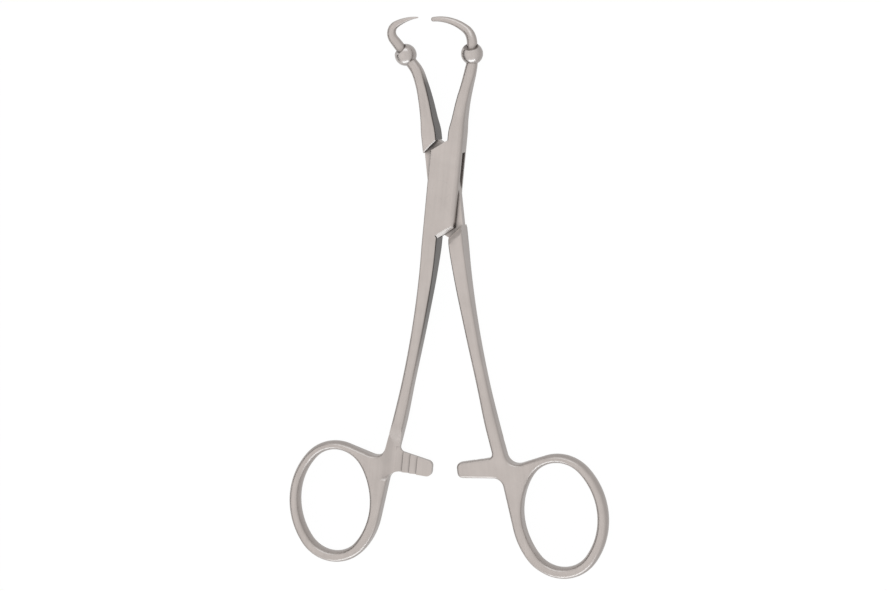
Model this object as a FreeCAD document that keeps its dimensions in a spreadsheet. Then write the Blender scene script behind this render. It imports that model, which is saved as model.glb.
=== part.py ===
import FreeCAD, Part
import math
import os

import Sketcher

# Towel forceps with ball stops: two crossed halves joined by a box lock.
# Each half is drawn with its lock bar along Y, its jaw at +X and its shank at -X, about the pivot axis Z.
# The tongue half is then turned over about Y: its jaw stands at -X and its teeth face the other arm's.
# Lengths are in millimetres and angles in degrees. Z = 0 of a half is the middle of the lock's thickness.

SIZES = {
    # the lock
    "bar_width": 7.4,
    "box_thickness": 5.2,
    "wall_thickness": 1.6,
    "slide_clearance": 0.05,
    "lock_slope": 37.0,
    "wall_end": 8.6,
    "slot_end": 8.95,
    "slot_end_clearance": 0.35,
    "shoulder_clearance": 0.15,
    "crotch_gap": 0.3,
    "root_reach": 13.0,
    "bar_edge_bevel": 0.3,
    "box_bevel": 0.8,
    "jaw_shoulder_bevel": 0.25,
    "shank_ramp_run": 1.3,
    "shank_ramp_depth": 0.8,
    # the rivet
    "rivet_radius": 1.5,
    "rivet_head_radius": 2.1,
    "rivet_head_depth": 0.6,
    "rivet_fit": 0.01,
    "pivot_clearance": 0.03,
    # how far the halves stand from the closed pose, half of it on each side
    "rest_half_angle": 6.0,
    # the shank, from the lock down to the ring plate
    "shank_upper_reach": 19.0,
    "shank_upper_offset": 2.05,
    "shank_upper_width": 3.4,
    "shank_upper_thickness": 4.5,
    "shank_upper_corner": 0.35,
    "shank_middle_reach": 31.0,
    "shank_middle_offset": 2.8,
    "shank_middle_width": 2.95,
    "shank_middle_thickness": 3.8,
    "shank_middle_corner": 0.5,
    "shank_waist_reach": 46.0,
    "shank_waist_offset": 4.33,
    "shank_waist_width": 2.65,
    "shank_waist_thickness": 3.6,
    "shank_waist_corner": 0.65,
    "shank_foot_offset": 5.8,
    "shank_foot_width": 2.95,
    "shank_foot_lean": 9.0,
    # the ring plate
    "plate_reach": 63.6,
    "stem_height": 6.1,
    "plate_thickness": 3.8,
    "plate_edge_bevel": 0.75,
    "ring_offset": 19.85,
    "ring_drop": 14.5,
    "ring_tilt": 1.5,
    "ring_length": 24.8,
    "ring_width": 18.1,
    "ring_side_limb": 2.55,
    "ring_top_limb": 2.1,
    "ring_bottom_limb": 2.7,
    "saddle_offset": 8.75,
    "saddle_drop": 2.6,
    "saddle_radius": 2.8,
    "armpit_radius": 2.4,
    "armpit_offset": 6.8,
    "elbow_radius": 1.1,
    # the ratchet arm
    "arm_top_slope": 9.0,
    "arm_height": 5.05,
    "arm_tip_radius": 1.1,
    "box_arm_length": 3.3,
    "tongue_arm_length": 3.9,
    "arm_clearance": 0.05,
    "tooth_pitch": 1.8,
    "tooth_depth": 0.55,
    "tooth_count": 3,
    "tooth_start": 0.72,
    "arm_ramp_angle": 32.0,
    "mill_margin": 0.2,
    # the jaws
    "jaw_lower_reach": 16.7,
    "jaw_lower_offset": 2.1,
    "jaw_lower_width": 3.0,
    "jaw_lower_thickness": 4.6,
    "jaw_middle_reach": 20.5,
    "jaw_middle_offset": 2.38,
    "jaw_middle_width": 2.7,
    "jaw_middle_thickness": 4.05,
    "jaw_middle_corner": 0.4,
    "jaw_upper_reach": 24.5,
    "jaw_upper_offset": 2.95,
    "jaw_upper_width": 2.5,
    "jaw_upper_thickness": 3.45,
    "jaw_upper_corner": 0.55,
    "neck_radius": 1.33,
    "neck_corner": 0.78,
    "neck_thickness": 2.86,
    "neck_lower_corner": 0.75,
    # the ball stops
    "ball_radius": 2.55,
    "ball_below": 2.18,
    "ball_above": 1.8,
    "ball_dish": 0.3,
    "ball_fit": 0.02,
    # the tines
    "tine_root_radius": 1.2,
    "tine_set": 0.85,
    "box_ball_offset": 3.38,
    "box_ball_reach": 31.9,
    "box_ball_lean": -5.0,
    "box_neck_below": 4.0,
    "box_neck_lean": -0.8,
    "box_tine_rise": 1.9,
    "box_elbow_radius": 4.5,
    "box_elbow_turn": 54.0,
    "box_tine_turn": 46.0,
    "box_tine_length": 8.9,
    "box_tine_knee_radius": 1.0,
    "box_tine_tip_radius": 0.5,
    "tongue_ball_offset": 6.16,
    "tongue_ball_reach": 31.7,
    "tongue_ball_lean": 32.0,
    "tongue_neck_below": 4.2,
    "tongue_neck_lean": 32.0,
    "tongue_tine_rise": 4.4,
    "tongue_elbow_radius": 2.4,
    "tongue_elbow_turn": 97.0,
    "tongue_tine_turn": 28.0,
    "tongue_tine_length": 5.8,
    "tongue_tine_knee_radius": 0.82,
    "tongue_tine_tip_radius": 0.14,
    # how far cutting outlines run past the faces that they cut
    "cut_over": 1.0,
    "bevel_over": 0.1,
}

# An oval's end radius over the radius that an ellipse has there.
OVAL_FULLNESS = 1.09
TINE_SECTIONS = 11
TINE_STEPS = 320
SAME_PLACE = 0.001
SAME_CORNER = 0.05
LEAST_CUT = 0.0001

doc = FreeCAD.newDocument("TowelForceps")
sheet = doc.addObject("Spreadsheet::Sheet", "Sizes")


def fill_sheet():
    for row, (alias, number) in enumerate(SIZES.items(), start=1):
        sheet.set("A%d" % row, alias)
        sheet.set("B%d" % row, str(number))
        sheet.setAlias("B%d" % row, alias)
    doc.recompute()


def value(expression):
    """The number that an expression on the sheet's sizes comes to."""
    return float(sheet.evalExpression(expression))


def bind(feature, path, expression):
    feature.setExpression(path, expression)


def origin_feature(body, role):
    return next(item for item in body.Origin.OriginFeatures if item.Role == role)


def new_sketch(body, name, role, along=None, height=None, away=None, turn=None):
    """A sketch on one of the body's own planes, moved by expressions in the plane's own directions."""
    sketch = body.newObject("Sketcher::SketchObject", name)
    sketch.AttachmentSupport = [(origin_feature(body, role), "")]
    sketch.MapMode = "FlatFace"
    place = [value(item) if item else 0.0 for item in (along, height, away)]
    turned = value(turn) if turn else 0.0
    rotation = FreeCAD.Rotation(FreeCAD.Vector(0, 1, 0), turned)
    sketch.AttachmentOffset = FreeCAD.Placement(FreeCAD.Vector(*place), rotation)
    for letter, item in zip("xyz", (along, height, away)):
        if item:
            bind(sketch, ".AttachmentOffset.Base.%s" % letter, item)
    return sketch


def fix_point(sketch, geometry, end, x, y):
    """Holds one end of a curve at a place given by two expressions."""
    for kind, item in (("DistanceX", x), ("DistanceY", y)):
        index = sketch.addConstraint(Sketcher.Constraint(kind, -1, 1, geometry, end, value(item)))
        bind(sketch, "Constraints[%d]" % index, item)


def join(sketch, first, second, kind="Coincident"):
    sketch.addConstraint(Sketcher.Constraint(kind, first, 2, second, 1))


def line(start, end):
    return Part.LineSegment(FreeCAD.Vector(*start, 0), FreeCAD.Vector(*end, 0))


def draw_polygon(sketch, corners):
    """A closed outline of straight sides through corners given as pairs of expressions."""
    points = [(value(x), value(y)) for x, y in corners]
    sides = [sketch.addGeometry(line(start, end), False)
             for start, end in zip(points, points[1:] + points[:1])]
    for first, second in zip(sides, sides[1:] + sides[:1]):
        join(sketch, first, second)
    for side, (x, y) in zip(sides, corners):
        fix_point(sketch, side, 1, x, y)


def draw_bevelled_rectangle(sketch, width, height, corner):
    """A rectangle about the sketch's origin, with four equal bevelled corners."""
    outer_x, outer_y = "(%s) / 2" % width, "(%s) / 2" % height
    inner_x, inner_y = "(%s - (%s))" % (outer_x, corner), "(%s - (%s))" % (outer_y, corner)
    draw_polygon(sketch, [
        (inner_x, "-" + outer_y), (outer_x, "-" + inner_y), (outer_x, inner_y), (inner_x, outer_y),
        ("-" + inner_x, outer_y), ("-" + outer_x, inner_y), ("-" + outer_x, "-" + inner_y),
        ("-" + inner_x, "-" + outer_y)])


def draw_circle(sketch, radius):
    circle = Part.Circle(FreeCAD.Vector(0, 0, 0), FreeCAD.Vector(0, 0, 1), value(radius))
    index = sketch.addGeometry(circle, False)
    sketch.addConstraint(Sketcher.Constraint("Coincident", index, 3, -1, 1))
    size = sketch.addConstraint(Sketcher.Constraint("Radius", index, value(radius)))
    bind(sketch, "Constraints[%d]" % size, radius)


def section(body, name, x, reach, lean, z="0"):
    """A sketch across a limb at x and reach along Y, square to a limb that leans towards +X."""
    return new_sketch(body, name, "XZ_Plane", x, z, "-(%s)" % reach, "-(%s)" % lean)


def pad(body, name, sketch, length, midplane=True, kind="PartDesign::Pad"):
    feature = body.newObject(kind, name)
    feature.Profile = sketch
    if midplane:
        feature.Midplane = True
    bind(feature, "Length", length)
    sketch.Visibility = False
    doc.recompute()
    return feature


def pocket(body, name, sketch, length, midplane=True, reversed_side=False):
    """A cut, refused when it takes nothing away."""
    before = body.Shape.Volume
    feature = body.newObject("PartDesign::Pocket", name)
    feature.Profile = sketch
    feature.Midplane = midplane
    feature.Reversed = reversed_side
    bind(feature, "Length", length)
    doc.recompute()
    if body.Shape.Volume > before - LEAST_CUT:
        raise ValueError(name + " takes nothing away")
    return feature


def loft(body, name, sketches):
    feature = body.newObject("PartDesign::AdditiveLoft", name)
    feature.Profile = sketches[0]
    feature.Sections = sketches[1:]
    doc.recompute()
    return feature


def dress(body, kind, name, edges, size):
    """A fillet or chamfer on the edges of the body's last feature that the test picks."""
    base = body.Tip
    names = ["Edge%d" % number for number, edge in enumerate(base.Shape.Edges, start=1) if edges(edge)]
    if not names:
        raise ValueError(name + " finds no edge")
    feature = body.newObject("PartDesign::" + kind, name)
    feature.Base = (base, names)
    feature.Refine = False
    bind(feature, "Radius" if kind == "Fillet" else "Size", size)
    doc.recompute()
    if feature.Shape.isNull() or not feature.isValid() or not feature.Shape.isValid():
        raise ValueError("%s fails on %d edges" % (name, len(names)))
    return feature


def middle(edge):
    return edge.valueAt((edge.FirstParameter + edge.LastParameter) / 2)


def is_upright(edge):
    tangent = edge.tangentAt(edge.FirstParameter)
    return edge.Curve.TypeId == "Part::GeomLine" and abs(tangent.z) > 1 - SAME_PLACE


# places and sizes that follow from the driving ones, as expressions on the sheet

HALF_BAR = "Sizes.bar_width / 2"
CROTCH = "Sizes.crotch_gap / 2"
SLOPE = "tan(Sizes.lock_slope * 1deg)"
ROOT_WIDTH = "%s - %s" % (HALF_BAR, CROTCH)
ROOT_OFFSET = "(%s + %s) / 2" % (HALF_BAR, CROTCH)
SLOT_THICKNESS = "Sizes.box_thickness - 2 * Sizes.wall_thickness"
TONGUE_THICKNESS = SLOT_THICKNESS + " - 2 * Sizes.slide_clearance"
TONGUE_END = "Sizes.slot_end - Sizes.slot_end_clearance"
SHOULDER = "Sizes.wall_end + Sizes.shoulder_clearance / cos(Sizes.lock_slope * 1deg)"
BALL_HEIGHT = "Sizes.ball_below + Sizes.ball_above"
FOOT_REACH = "(Sizes.plate_reach - Sizes.stem_height)"
ARM_BOTTOM = "(Sizes.plate_reach + Sizes.arm_height)"
ARM_FLAT_ROOT = "-(Sizes.tooth_start + Sizes.tooth_count * Sizes.tooth_pitch)"


class Oval:
    """A flat oval of four arcs, set in a sketch about a centre with its long axis at an angle."""

    def __init__(self, centre, tilt, long_half, short_half):
        end_radius = OVAL_FULLNESS * short_half ** 2 / long_half
        side_radius = (long_half ** 2 + short_half ** 2 - 2 * long_half * end_radius) / (
            2 * (short_half - end_radius))
        span = math.atan2(side_radius - short_half, long_half - end_radius)
        self.arcs = []
        for quarter in range(4):
            middle_angle = tilt + math.pi / 2 * quarter
            at_end = quarter % 2 == 0
            radius, half_angle = (end_radius, span) if at_end else (side_radius, math.pi / 2 - span)
            reach = (long_half if at_end else short_half) - radius
            arc_centre = centre + FreeCAD.Vector(math.cos(middle_angle), math.sin(middle_angle), 0) * reach
            self.arcs.append((arc_centre, radius, middle_angle - half_angle, middle_angle + half_angle))

    def touch(self, corner, turn):
        """Number and angle of the arc that a straight side from a corner outside the oval touches. The turn
        is 1 or -1 for its two sides."""
        for number, (centre, radius, first, last) in enumerate(self.arcs):
            offset = FreeCAD.Vector(*corner, 0) - centre
            angle = math.atan2(offset.y, offset.x) + turn * math.acos(min(radius / offset.Length, 1))
            while angle < first:
                angle += 2 * math.pi
            if angle <= last:
                return number, angle
        raise ValueError("no side touches the oval")

    def point(self, number, angle):
        centre, radius = self.arcs[number][:2]
        return centre.x + radius * math.cos(angle), centre.y + radius * math.sin(angle)

    def draw(self, sketch, start=None, end=None):
        """Adds the whole oval to a sketch, or the part from one touching point round to another."""
        numbers = list(range(4))
        if start:
            after = (end[0] - start[0]) % 4
            numbers = [(start[0] + step) % 4 for step in range(after + 1)]
        chain = []
        for place, number in enumerate(numbers):
            centre, radius, first, last = self.arcs[number]
            if start and place == 0:
                first = start[1]
            if end and place == len(numbers) - 1:
                last = end[1]
            circle = Part.Circle(centre, FreeCAD.Vector(0, 0, 1), radius)
            chain.append(sketch.addGeometry(Part.ArcOfCircle(circle, first, last), False))
        return chain


def close_outline(sketch, chain):
    """Joins the curves of a closed outline end to end and holds them where they are."""
    for before, after in zip(chain, chain[1:] + chain[:1]):
        join(sketch, before, after)
    for index in chain:
        sketch.addConstraint(Sketcher.Constraint("Block", index))


def ring_plate(body, arm_length):
    """Finger ring, its web, the stem up to the shank and the ratchet arm, all of one thickness."""
    lean = math.radians(value("Sizes.shank_foot_lean"))
    along = (math.sin(lean), math.cos(lean))
    foot = (-value("Sizes.shank_foot_offset"), -value(FOOT_REACH))
    half_foot = value("Sizes.shank_foot_width") / 2
    foot_left = (foot[0] - half_foot * along[1], foot[1] + half_foot * along[0])
    foot_right = (foot[0] + half_foot * along[1], foot[1] - half_foot * along[0])

    drop = value("(Sizes.ring_bottom_limb - Sizes.ring_top_limb) / 2")
    tilt = math.radians(90 + value("Sizes.ring_tilt"))
    opening = FreeCAD.Vector(-value("Sizes.ring_offset"), -value("Sizes.plate_reach + Sizes.ring_drop"), 0)
    centre = opening - FreeCAD.Vector(math.cos(tilt), math.sin(tilt), 0) * drop
    long_half = value("(Sizes.ring_length + Sizes.ring_top_limb + Sizes.ring_bottom_limb) / 2")
    outside = Oval(centre, tilt, long_half, value("Sizes.ring_width / 2 + Sizes.ring_side_limb"))
    inside = Oval(opening, tilt, value("Sizes.ring_length / 2"), value("Sizes.ring_width / 2"))

    saddle = (-value("Sizes.saddle_offset"), -value("Sizes.plate_reach + Sizes.saddle_drop"))
    armpit = (-value("Sizes.armpit_offset"), -value(ARM_BOTTOM))
    arm_end = value(arm_length)
    stem_slope = along[0] / along[1]
    top_fall = math.tan(math.radians(value("Sizes.arm_top_slope")))
    elbow_y = -value("Sizes.plate_reach")
    elbow = (foot_right[0] + (elbow_y - foot_right[1]) * stem_slope, elbow_y)
    tip_top = (arm_end, elbow_y - (arm_end - elbow[0]) * top_fall)
    tip_bottom = (arm_end, armpit[1])

    sketch = new_sketch(body, "plate_outline", "XY_Plane")
    start, end = outside.touch(saddle, 1), outside.touch(armpit, -1)
    corners = [armpit, tip_bottom, tip_top, elbow, foot_right, foot_left, saddle]
    points = [outside.point(*end)] + corners + [outside.point(*start)]
    chain = outside.draw(sketch, start, end)
    chain += [sketch.addGeometry(line(first, last), False) for first, last in zip(points, points[1:])]
    close_outline(sketch, chain)
    pad(body, "plate", sketch, "Sizes.plate_thickness")

    def at(corner):
        def test(edge):
            point = middle(edge)
            away = math.hypot(point.x - corner[0], point.y - corner[1])
            return is_upright(edge) and away < SAME_CORNER
        return test
    dress(body, "Fillet", "saddle_round", at(saddle), "Sizes.saddle_radius")
    dress(body, "Fillet", "armpit_round", at(armpit), "Sizes.armpit_radius")
    dress(body, "Fillet", "elbow_round", at(elbow), "Sizes.elbow_radius")
    dress(body, "Fillet", "tip_round", lambda edge: at(tip_top)(edge) or at(tip_bottom)(edge),
          "Sizes.arm_tip_radius")

    finger = new_sketch(body, "finger_opening", "XY_Plane")
    close_outline(finger, inside.draw(finger))
    pocket(body, "finger_hole", finger, "Sizes.plate_thickness * 2")

    half_plate = value("Sizes.plate_thickness") / 2
    foot_point = FreeCAD.Vector(*foot, 0)
    direction = FreeCAD.Vector(*along, 0)

    def on_face(side):
        def test(edge):
            point = middle(edge)
            on_foot = abs((point - foot_point).dot(direction)) < SAME_PLACE
            return abs(point.z - side * half_plate) < SAME_PLACE and not on_foot
        return test
    dress(body, "Chamfer", "front_edges", on_face(1), "Sizes.plate_edge_bevel")
    dress(body, "Chamfer", "back_edges", on_face(-1), "Sizes.plate_edge_bevel")


def ratchet(body, arm_length):
    """The arm's front half milled away down to the middle, with saw teeth that face its own shank."""
    mill = new_sketch(body, "mill_outline", "XY_Plane", away="-Sizes.arm_clearance")
    far = "%s + 3 * Sizes.cut_over" % arm_length
    top = "Sizes.mill_margin - Sizes.plate_reach"
    bottom = "-" + ARM_BOTTOM
    draw_polygon(mill, [(ARM_FLAT_ROOT, bottom), (far, bottom), (far, top), (ARM_FLAT_ROOT, top)])
    cut = pocket(body, "mill", mill, "Sizes.plate_thickness", midplane=False, reversed_side=True)
    bind(cut, "TaperAngle", "Sizes.arm_ramp_angle")
    doc.recompute()

    tooth = new_sketch(body, "tooth_outline", "XZ_Plane", away="Sizes.plate_reach - Sizes.cut_over")
    crest = "-Sizes.arm_clearance"
    foot = "-Sizes.arm_clearance - Sizes.tooth_depth"
    face = "-Sizes.tooth_start"
    draw_polygon(tooth, [(face, foot), (face, crest), ("%s - Sizes.tooth_pitch" % face, crest)])
    width = "Sizes.arm_height + 2 * Sizes.cut_over"
    notch = pocket(body, "tooth_notch", tooth, width, midplane=False, reversed_side=True)
    row = body.newObject("PartDesign::LinearPattern", "tooth_row")
    row.Originals = [notch]
    row.Direction = (origin_feature(body, "X_Axis"), [""])
    row.Reversed = True
    bind(row, "Length", "(Sizes.tooth_count - 1) * Sizes.tooth_pitch")
    bind(row, "Occurrences", "Sizes.tooth_count")
    body.Tip = row
    doc.recompute()


def limb(body, name, stations):
    """A limb lofted through bevelled sections; a station is x, reach, lean, width, thickness and corner."""
    sketches = []
    for number, (x, reach, lean, width, thickness, corner) in enumerate(stations, start=1):
        sketch = section(body, "%s_section_%d" % (name, number), x, reach, lean)
        draw_bevelled_rectangle(sketch, width, thickness, corner)
        sketches.append(sketch)
    return loft(body, name, sketches)


def shank(body):
    def station(name):
        size = "Sizes.shank_" + name
        return ("-%s_offset" % size, "-%s_reach" % size, "0", size + "_width", size + "_thickness",
                size + "_corner")
    root = ("-(%s)" % ROOT_OFFSET, "-Sizes.root_reach", "0", ROOT_WIDTH, "Sizes.box_thickness",
            "Sizes.bar_edge_bevel")
    foot = ("-Sizes.shank_foot_offset", "-" + FOOT_REACH, "Sizes.shank_foot_lean",
            "Sizes.shank_foot_width", "Sizes.plate_thickness", "Sizes.plate_edge_bevel")
    limb(body, "shank", [foot, station("waist"), station("middle"), station("upper"), root])


def lock_bar(body, end):
    """The full bar of the lock, cut slanting at two corners beside the roots of jaw and shank."""
    rise = "(%s) + (%s + %s) * %s" % (end, HALF_BAR, CROTCH, SLOPE)
    reach = "Sizes.root_reach"
    upper = [("-%s" % HALF_BAR, end), (CROTCH, rise), (CROTCH, reach), (HALF_BAR, reach)]
    lower = [("-(%s)" % x, "-(%s)" % y) for x, y in upper]
    sketch = new_sketch(body, "bar_outline", "XY_Plane")
    draw_polygon(sketch, upper + lower)
    pad(body, "bar", sketch, "Sizes.box_thickness")
    half_bar, half_box = value(HALF_BAR), value("Sizes.box_thickness / 2")
    root, crotch = value("Sizes.root_reach"), value(CROTCH)

    def long_edges(edge):
        point = middle(edge)
        on_side = min(abs(abs(point.x) - half_bar), abs(abs(point.x) - crotch)) < SAME_PLACE
        on_face = abs(abs(point.z) - half_box) < SAME_PLACE
        return on_side and on_face and abs(point.y) < root - SAME_PLACE
    dress(body, "Chamfer", "bar_edges", long_edges, "Sizes.bar_edge_bevel")


def band(sketch, end):
    """A slanting band across the bar, from one slanting end to its mirror about the pivot."""
    reach = "(%s + Sizes.cut_over)" % HALF_BAR
    near_side = "(%s) - Sizes.cut_over * %s" % (end, SLOPE)
    far_side = "(%s) + (Sizes.bar_width + Sizes.cut_over) * %s" % (end, SLOPE)
    draw_polygon(sketch, [(reach, near_side), ("-%s" % reach, far_side),
                          ("-%s" % reach, "-(%s)" % near_side), (reach, "-(%s)" % far_side)])


def bevel(body, name, edge, away, run, depth):
    """Bevels a slanting edge on both faces of the lock. The edge is the x, reach, lean and length of its
    middle, and away is the side, "" or "-" across it, on which the bevel meets the face."""
    x, reach, lean, length = edge
    face = "Sizes.box_thickness / 2"
    over = "Sizes.bevel_over"
    other = "-" if away == "" else ""
    sketch = section(body, name + "_outline", x, reach, lean)
    for side in ("", "-"):
        draw_polygon(sketch, [
            ("%s%s" % (other, over), "%s(%s + %s)" % (side, face, over)),
            ("%s%s" % (other, over), "%s(%s - %s - %s * %s / %s)" % (side, face, depth, over, depth, run)),
            ("%s(%s + %s * %s / %s)" % (away, run, over, run, depth), "%s(%s + %s)" % (side, face, over))])
    pocket(body, name, sketch, length)


def slanting_edge(half, end, rising):
    """Middle and length of a slanting edge of the lock: half is "" beside the jaw and "-" beside the shank,
    and rising is whether the edge climbs towards +X."""
    run = "(%s + %s)" % (HALF_BAR, CROTCH)
    side, lean = ("-", "90 - Sizes.lock_slope") if rising else ("", "90 + Sizes.lock_slope")
    x = "%s%s(%s - %s / 2)" % (half, side, HALF_BAR, run)
    reach = "%s(%s + %s / 2 * %s)" % (half, end, run, SLOPE)
    return x.replace("--", ""), reach, lean, "%s / cos(Sizes.lock_slope * 1deg)" % run


def box_lock(body):
    """Front and back walls with the slanting slot between them."""
    lock_bar(body, "Sizes.wall_end")
    shank(body)
    slot = new_sketch(body, "slot_outline", "XY_Plane")
    band(slot, "Sizes.slot_end")
    pocket(body, "slot", slot, SLOT_THICKNESS)
    bevel(body, "box_end_bevel", slanting_edge("-", "Sizes.wall_end", True), "-", "Sizes.box_bevel",
          "Sizes.box_bevel")


def tongue_lock(body):
    """The thin tongue, with slanting steps up to the full thickness of jaw and shank."""
    lock_bar(body, TONGUE_END)
    shank(body)
    for name, side in (("front", 1), ("back", -1)):
        away = "%s(%s) / 2" % ("-" if side < 0 else "", TONGUE_THICKNESS)
        sketch = new_sketch(body, name + "_outline", "XY_Plane", away=away)
        band(sketch, SHOULDER)
        pocket(body, name + "_step", sketch, "Sizes.box_thickness", midplane=False, reversed_side=side > 0)
    bevel(body, "jaw_step_bevel", slanting_edge("", SHOULDER, False), "-", "Sizes.jaw_shoulder_bevel",
          "Sizes.jaw_shoulder_bevel")
    bevel(body, "shank_step_ramp", slanting_edge("-", SHOULDER, False), "", "Sizes.shank_ramp_run",
          "Sizes.shank_ramp_depth")


def jaw(body, half):
    """The jaw from the lock up to the neck below the ball stop."""
    ball = "Sizes.%s_ball" % half

    def below_ball(distance, lean):
        x = "%s_offset - (%s) * sin(%s * 1deg)" % (ball, distance, lean)
        reach = "%s_reach - (%s) * cos(%s * 1deg)" % (ball, distance, lean)
        return x, reach, lean
    width = "Sizes.neck_radius * 2"
    neck = below_ball("Sizes.ball_below", ball + "_lean") + (width, width, "Sizes.neck_corner")
    shoulder = below_ball("Sizes.%s_neck_below" % half, "Sizes.%s_neck_lean" % half)
    shoulder += (width, "Sizes.neck_thickness", "Sizes.neck_lower_corner")
    root = (ROOT_OFFSET, "Sizes.root_reach", "0", ROOT_WIDTH, "Sizes.box_thickness", "Sizes.bar_edge_bevel")
    lower = ("Sizes.jaw_lower_offset", "Sizes.jaw_lower_reach", "0", "Sizes.jaw_lower_width",
             "Sizes.jaw_lower_thickness", "Sizes.bar_edge_bevel")
    centre = ("Sizes.jaw_middle_offset", "Sizes.jaw_middle_reach", "0", "Sizes.jaw_middle_width",
              "Sizes.jaw_middle_thickness", "Sizes.jaw_middle_corner")
    upper = ("Sizes.jaw_upper_offset", "Sizes.jaw_upper_reach", "0", "Sizes.jaw_upper_width",
             "Sizes.jaw_upper_thickness", "Sizes.jaw_upper_corner")
    limb(body, "jaw", [root, lower, centre, upper, shoulder, neck])


def tine(body, half):
    """The spigot through the ball stop and the curved, tapering tine, which turns towards -X."""
    size = "Sizes.%s_" % half
    lean = math.radians(value(size + "ball_lean"))
    heading = math.pi / 2 - lean
    below, above = value("Sizes.ball_below"), value("Sizes.ball_above")
    ball = (value(size + "ball_offset"), value(size + "ball_reach"))
    x = ball[0] + above * math.cos(heading)
    y = ball[1] + above * math.sin(heading)

    foot_x = "%sball_offset - Sizes.ball_below * sin(%sball_lean * 1deg)" % (size, size)
    foot_y = "%sball_reach - Sizes.ball_below * cos(%sball_lean * 1deg)" % (size, size)
    spigot = section(body, "spigot_section", foot_x, foot_y, size + "ball_lean")
    draw_circle(spigot, "Sizes.tine_root_radius")
    stem = body.newObject("PartDesign::Pad", "spigot")
    stem.Profile = spigot
    stem.Reversed = True
    bind(stem, "Length", BALL_HEIGHT)
    doc.recompute()

    rise = value(size + "tine_rise") - above
    elbow = math.radians(value(size + "elbow_turn"))
    last_turn = math.radians(value(size + "tine_turn"))
    elbow_length = value(size + "elbow_radius") * elbow
    tine_length = value(size + "tine_length")
    root_radius = value("Sizes.tine_root_radius")
    knee_radius = value(size + "tine_knee_radius")
    tip_radius = value(size + "tine_tip_radius")
    offset_z = -value("Sizes.tine_set")

    def station(length):
        """Heading at a length along the tine, and the tine's radius and depth there."""
        bent = min(max(length - rise, 0), elbow_length)
        out = max(length - rise - elbow_length, 0)
        turned = elbow * bent / elbow_length + last_turn * out / tine_length
        if out > 0:
            radius = knee_radius + (tip_radius - knee_radius) * (out / tine_length)
        else:
            share = length / (rise + elbow_length)
            radius = root_radius + (knee_radius - root_radius) * share ** 2
        share = min(length / (rise + elbow_length), 1)
        depth = offset_z * share * share * (3 - 2 * share)
        return heading + turned, radius, depth

    whole = rise + elbow_length + tine_length
    spacing = whole / (TINE_SECTIONS - 1)
    step = whole / TINE_STEPS
    steps_between = TINE_STEPS // (TINE_SECTIONS - 1)
    sketches = []
    for number in range(TINE_SECTIONS):
        length = spacing * number
        direction, radius, depth = station(length)
        name = "tine_section_%d" % number
        sketch = body.newObject("Sketcher::SketchObject", name)
        sketch.AttachmentSupport = [(origin_feature(body, "XZ_Plane"), "")]
        sketch.MapMode = "FlatFace"
        turn = FreeCAD.Rotation(FreeCAD.Vector(0, 1, 0), math.degrees(direction) - 90)
        sketch.AttachmentOffset = FreeCAD.Placement(FreeCAD.Vector(x, depth, -y), turn)
        circle = Part.Circle(FreeCAD.Vector(0, 0, 0), FreeCAD.Vector(0, 0, 1), radius)
        index = sketch.addGeometry(circle, False)
        sketch.addConstraint(Sketcher.Constraint("Block", index))
        sketches.append(sketch)
        for part in range(steps_between):
            direction = station(length + step * (part + 0.5))[0]
            x += math.cos(direction) * step
            y += math.sin(direction) * step
    loft(body, "tine", sketches)


def rivet_bore(body, radius, head_radius=None):
    """The hole for the rivet, with a countersink at both faces where head_radius is given."""
    sketch = new_sketch(body, "bore_outline", "XY_Plane")
    draw_circle(sketch, radius)
    pocket(body, "bore", sketch, "Sizes.box_thickness * 2")
    if not head_radius:
        return
    face = "Sizes.box_thickness / 2"
    depth = "Sizes.rivet_head_depth"
    cone = new_sketch(body, "sink_outline", "XZ_Plane")
    for side in ("", "-"):
        corners = [("0", side + "(%s)" % face), (head_radius, side + "(%s)" % face),
                   (radius, side + "(%s - %s)" % (face, depth)), ("0", side + "(%s - %s)" % (face, depth))]
        draw_polygon(cone, corners)
    before = body.Shape.Volume
    sink = body.newObject("PartDesign::Groove", "countersinks")
    sink.Profile = cone
    sink.ReferenceAxis = (cone, ["V_Axis"])
    sink.Angle = 360
    doc.recompute()
    if body.Shape.Volume > before - LEAST_CUT:
        raise ValueError("countersinks take nothing away")


def place_half(body, turned_over, turn):
    """Sets a half in the rest pose, with the lock's back face on Z = 0."""
    flip = FreeCAD.Rotation(FreeCAD.Vector(0, 1, 0), 180 if turned_over else 0)
    spin = FreeCAD.Rotation(FreeCAD.Vector(0, 0, 1), turn)
    lift = FreeCAD.Vector(0, 0, value("Sizes.box_thickness / 2"))
    body.Placement = FreeCAD.Placement(lift, spin.multiply(flip))


def box_half():
    body = doc.addObject("PartDesign::Body", "box_half")
    body.Label = "box_half"
    ring_plate(body, "Sizes.box_arm_length")
    ratchet(body, "Sizes.box_arm_length")
    box_lock(body)
    jaw(body, "box")
    tine(body, "box")
    rivet_bore(body, "Sizes.rivet_radius + Sizes.rivet_fit", "Sizes.rivet_head_radius + Sizes.rivet_fit")
    place_half(body, False, -value("Sizes.rest_half_angle"))
    return body


def tongue_half():
    body = doc.addObject("PartDesign::Body", "tongue_half")
    body.Label = "tongue_half"
    ring_plate(body, "Sizes.tongue_arm_length")
    ratchet(body, "Sizes.tongue_arm_length")
    tongue_lock(body)
    jaw(body, "tongue")
    tine(body, "tongue")
    rivet_bore(body, "Sizes.rivet_radius + Sizes.pivot_clearance")
    place_half(body, True, value("Sizes.rest_half_angle"))
    return body


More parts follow.
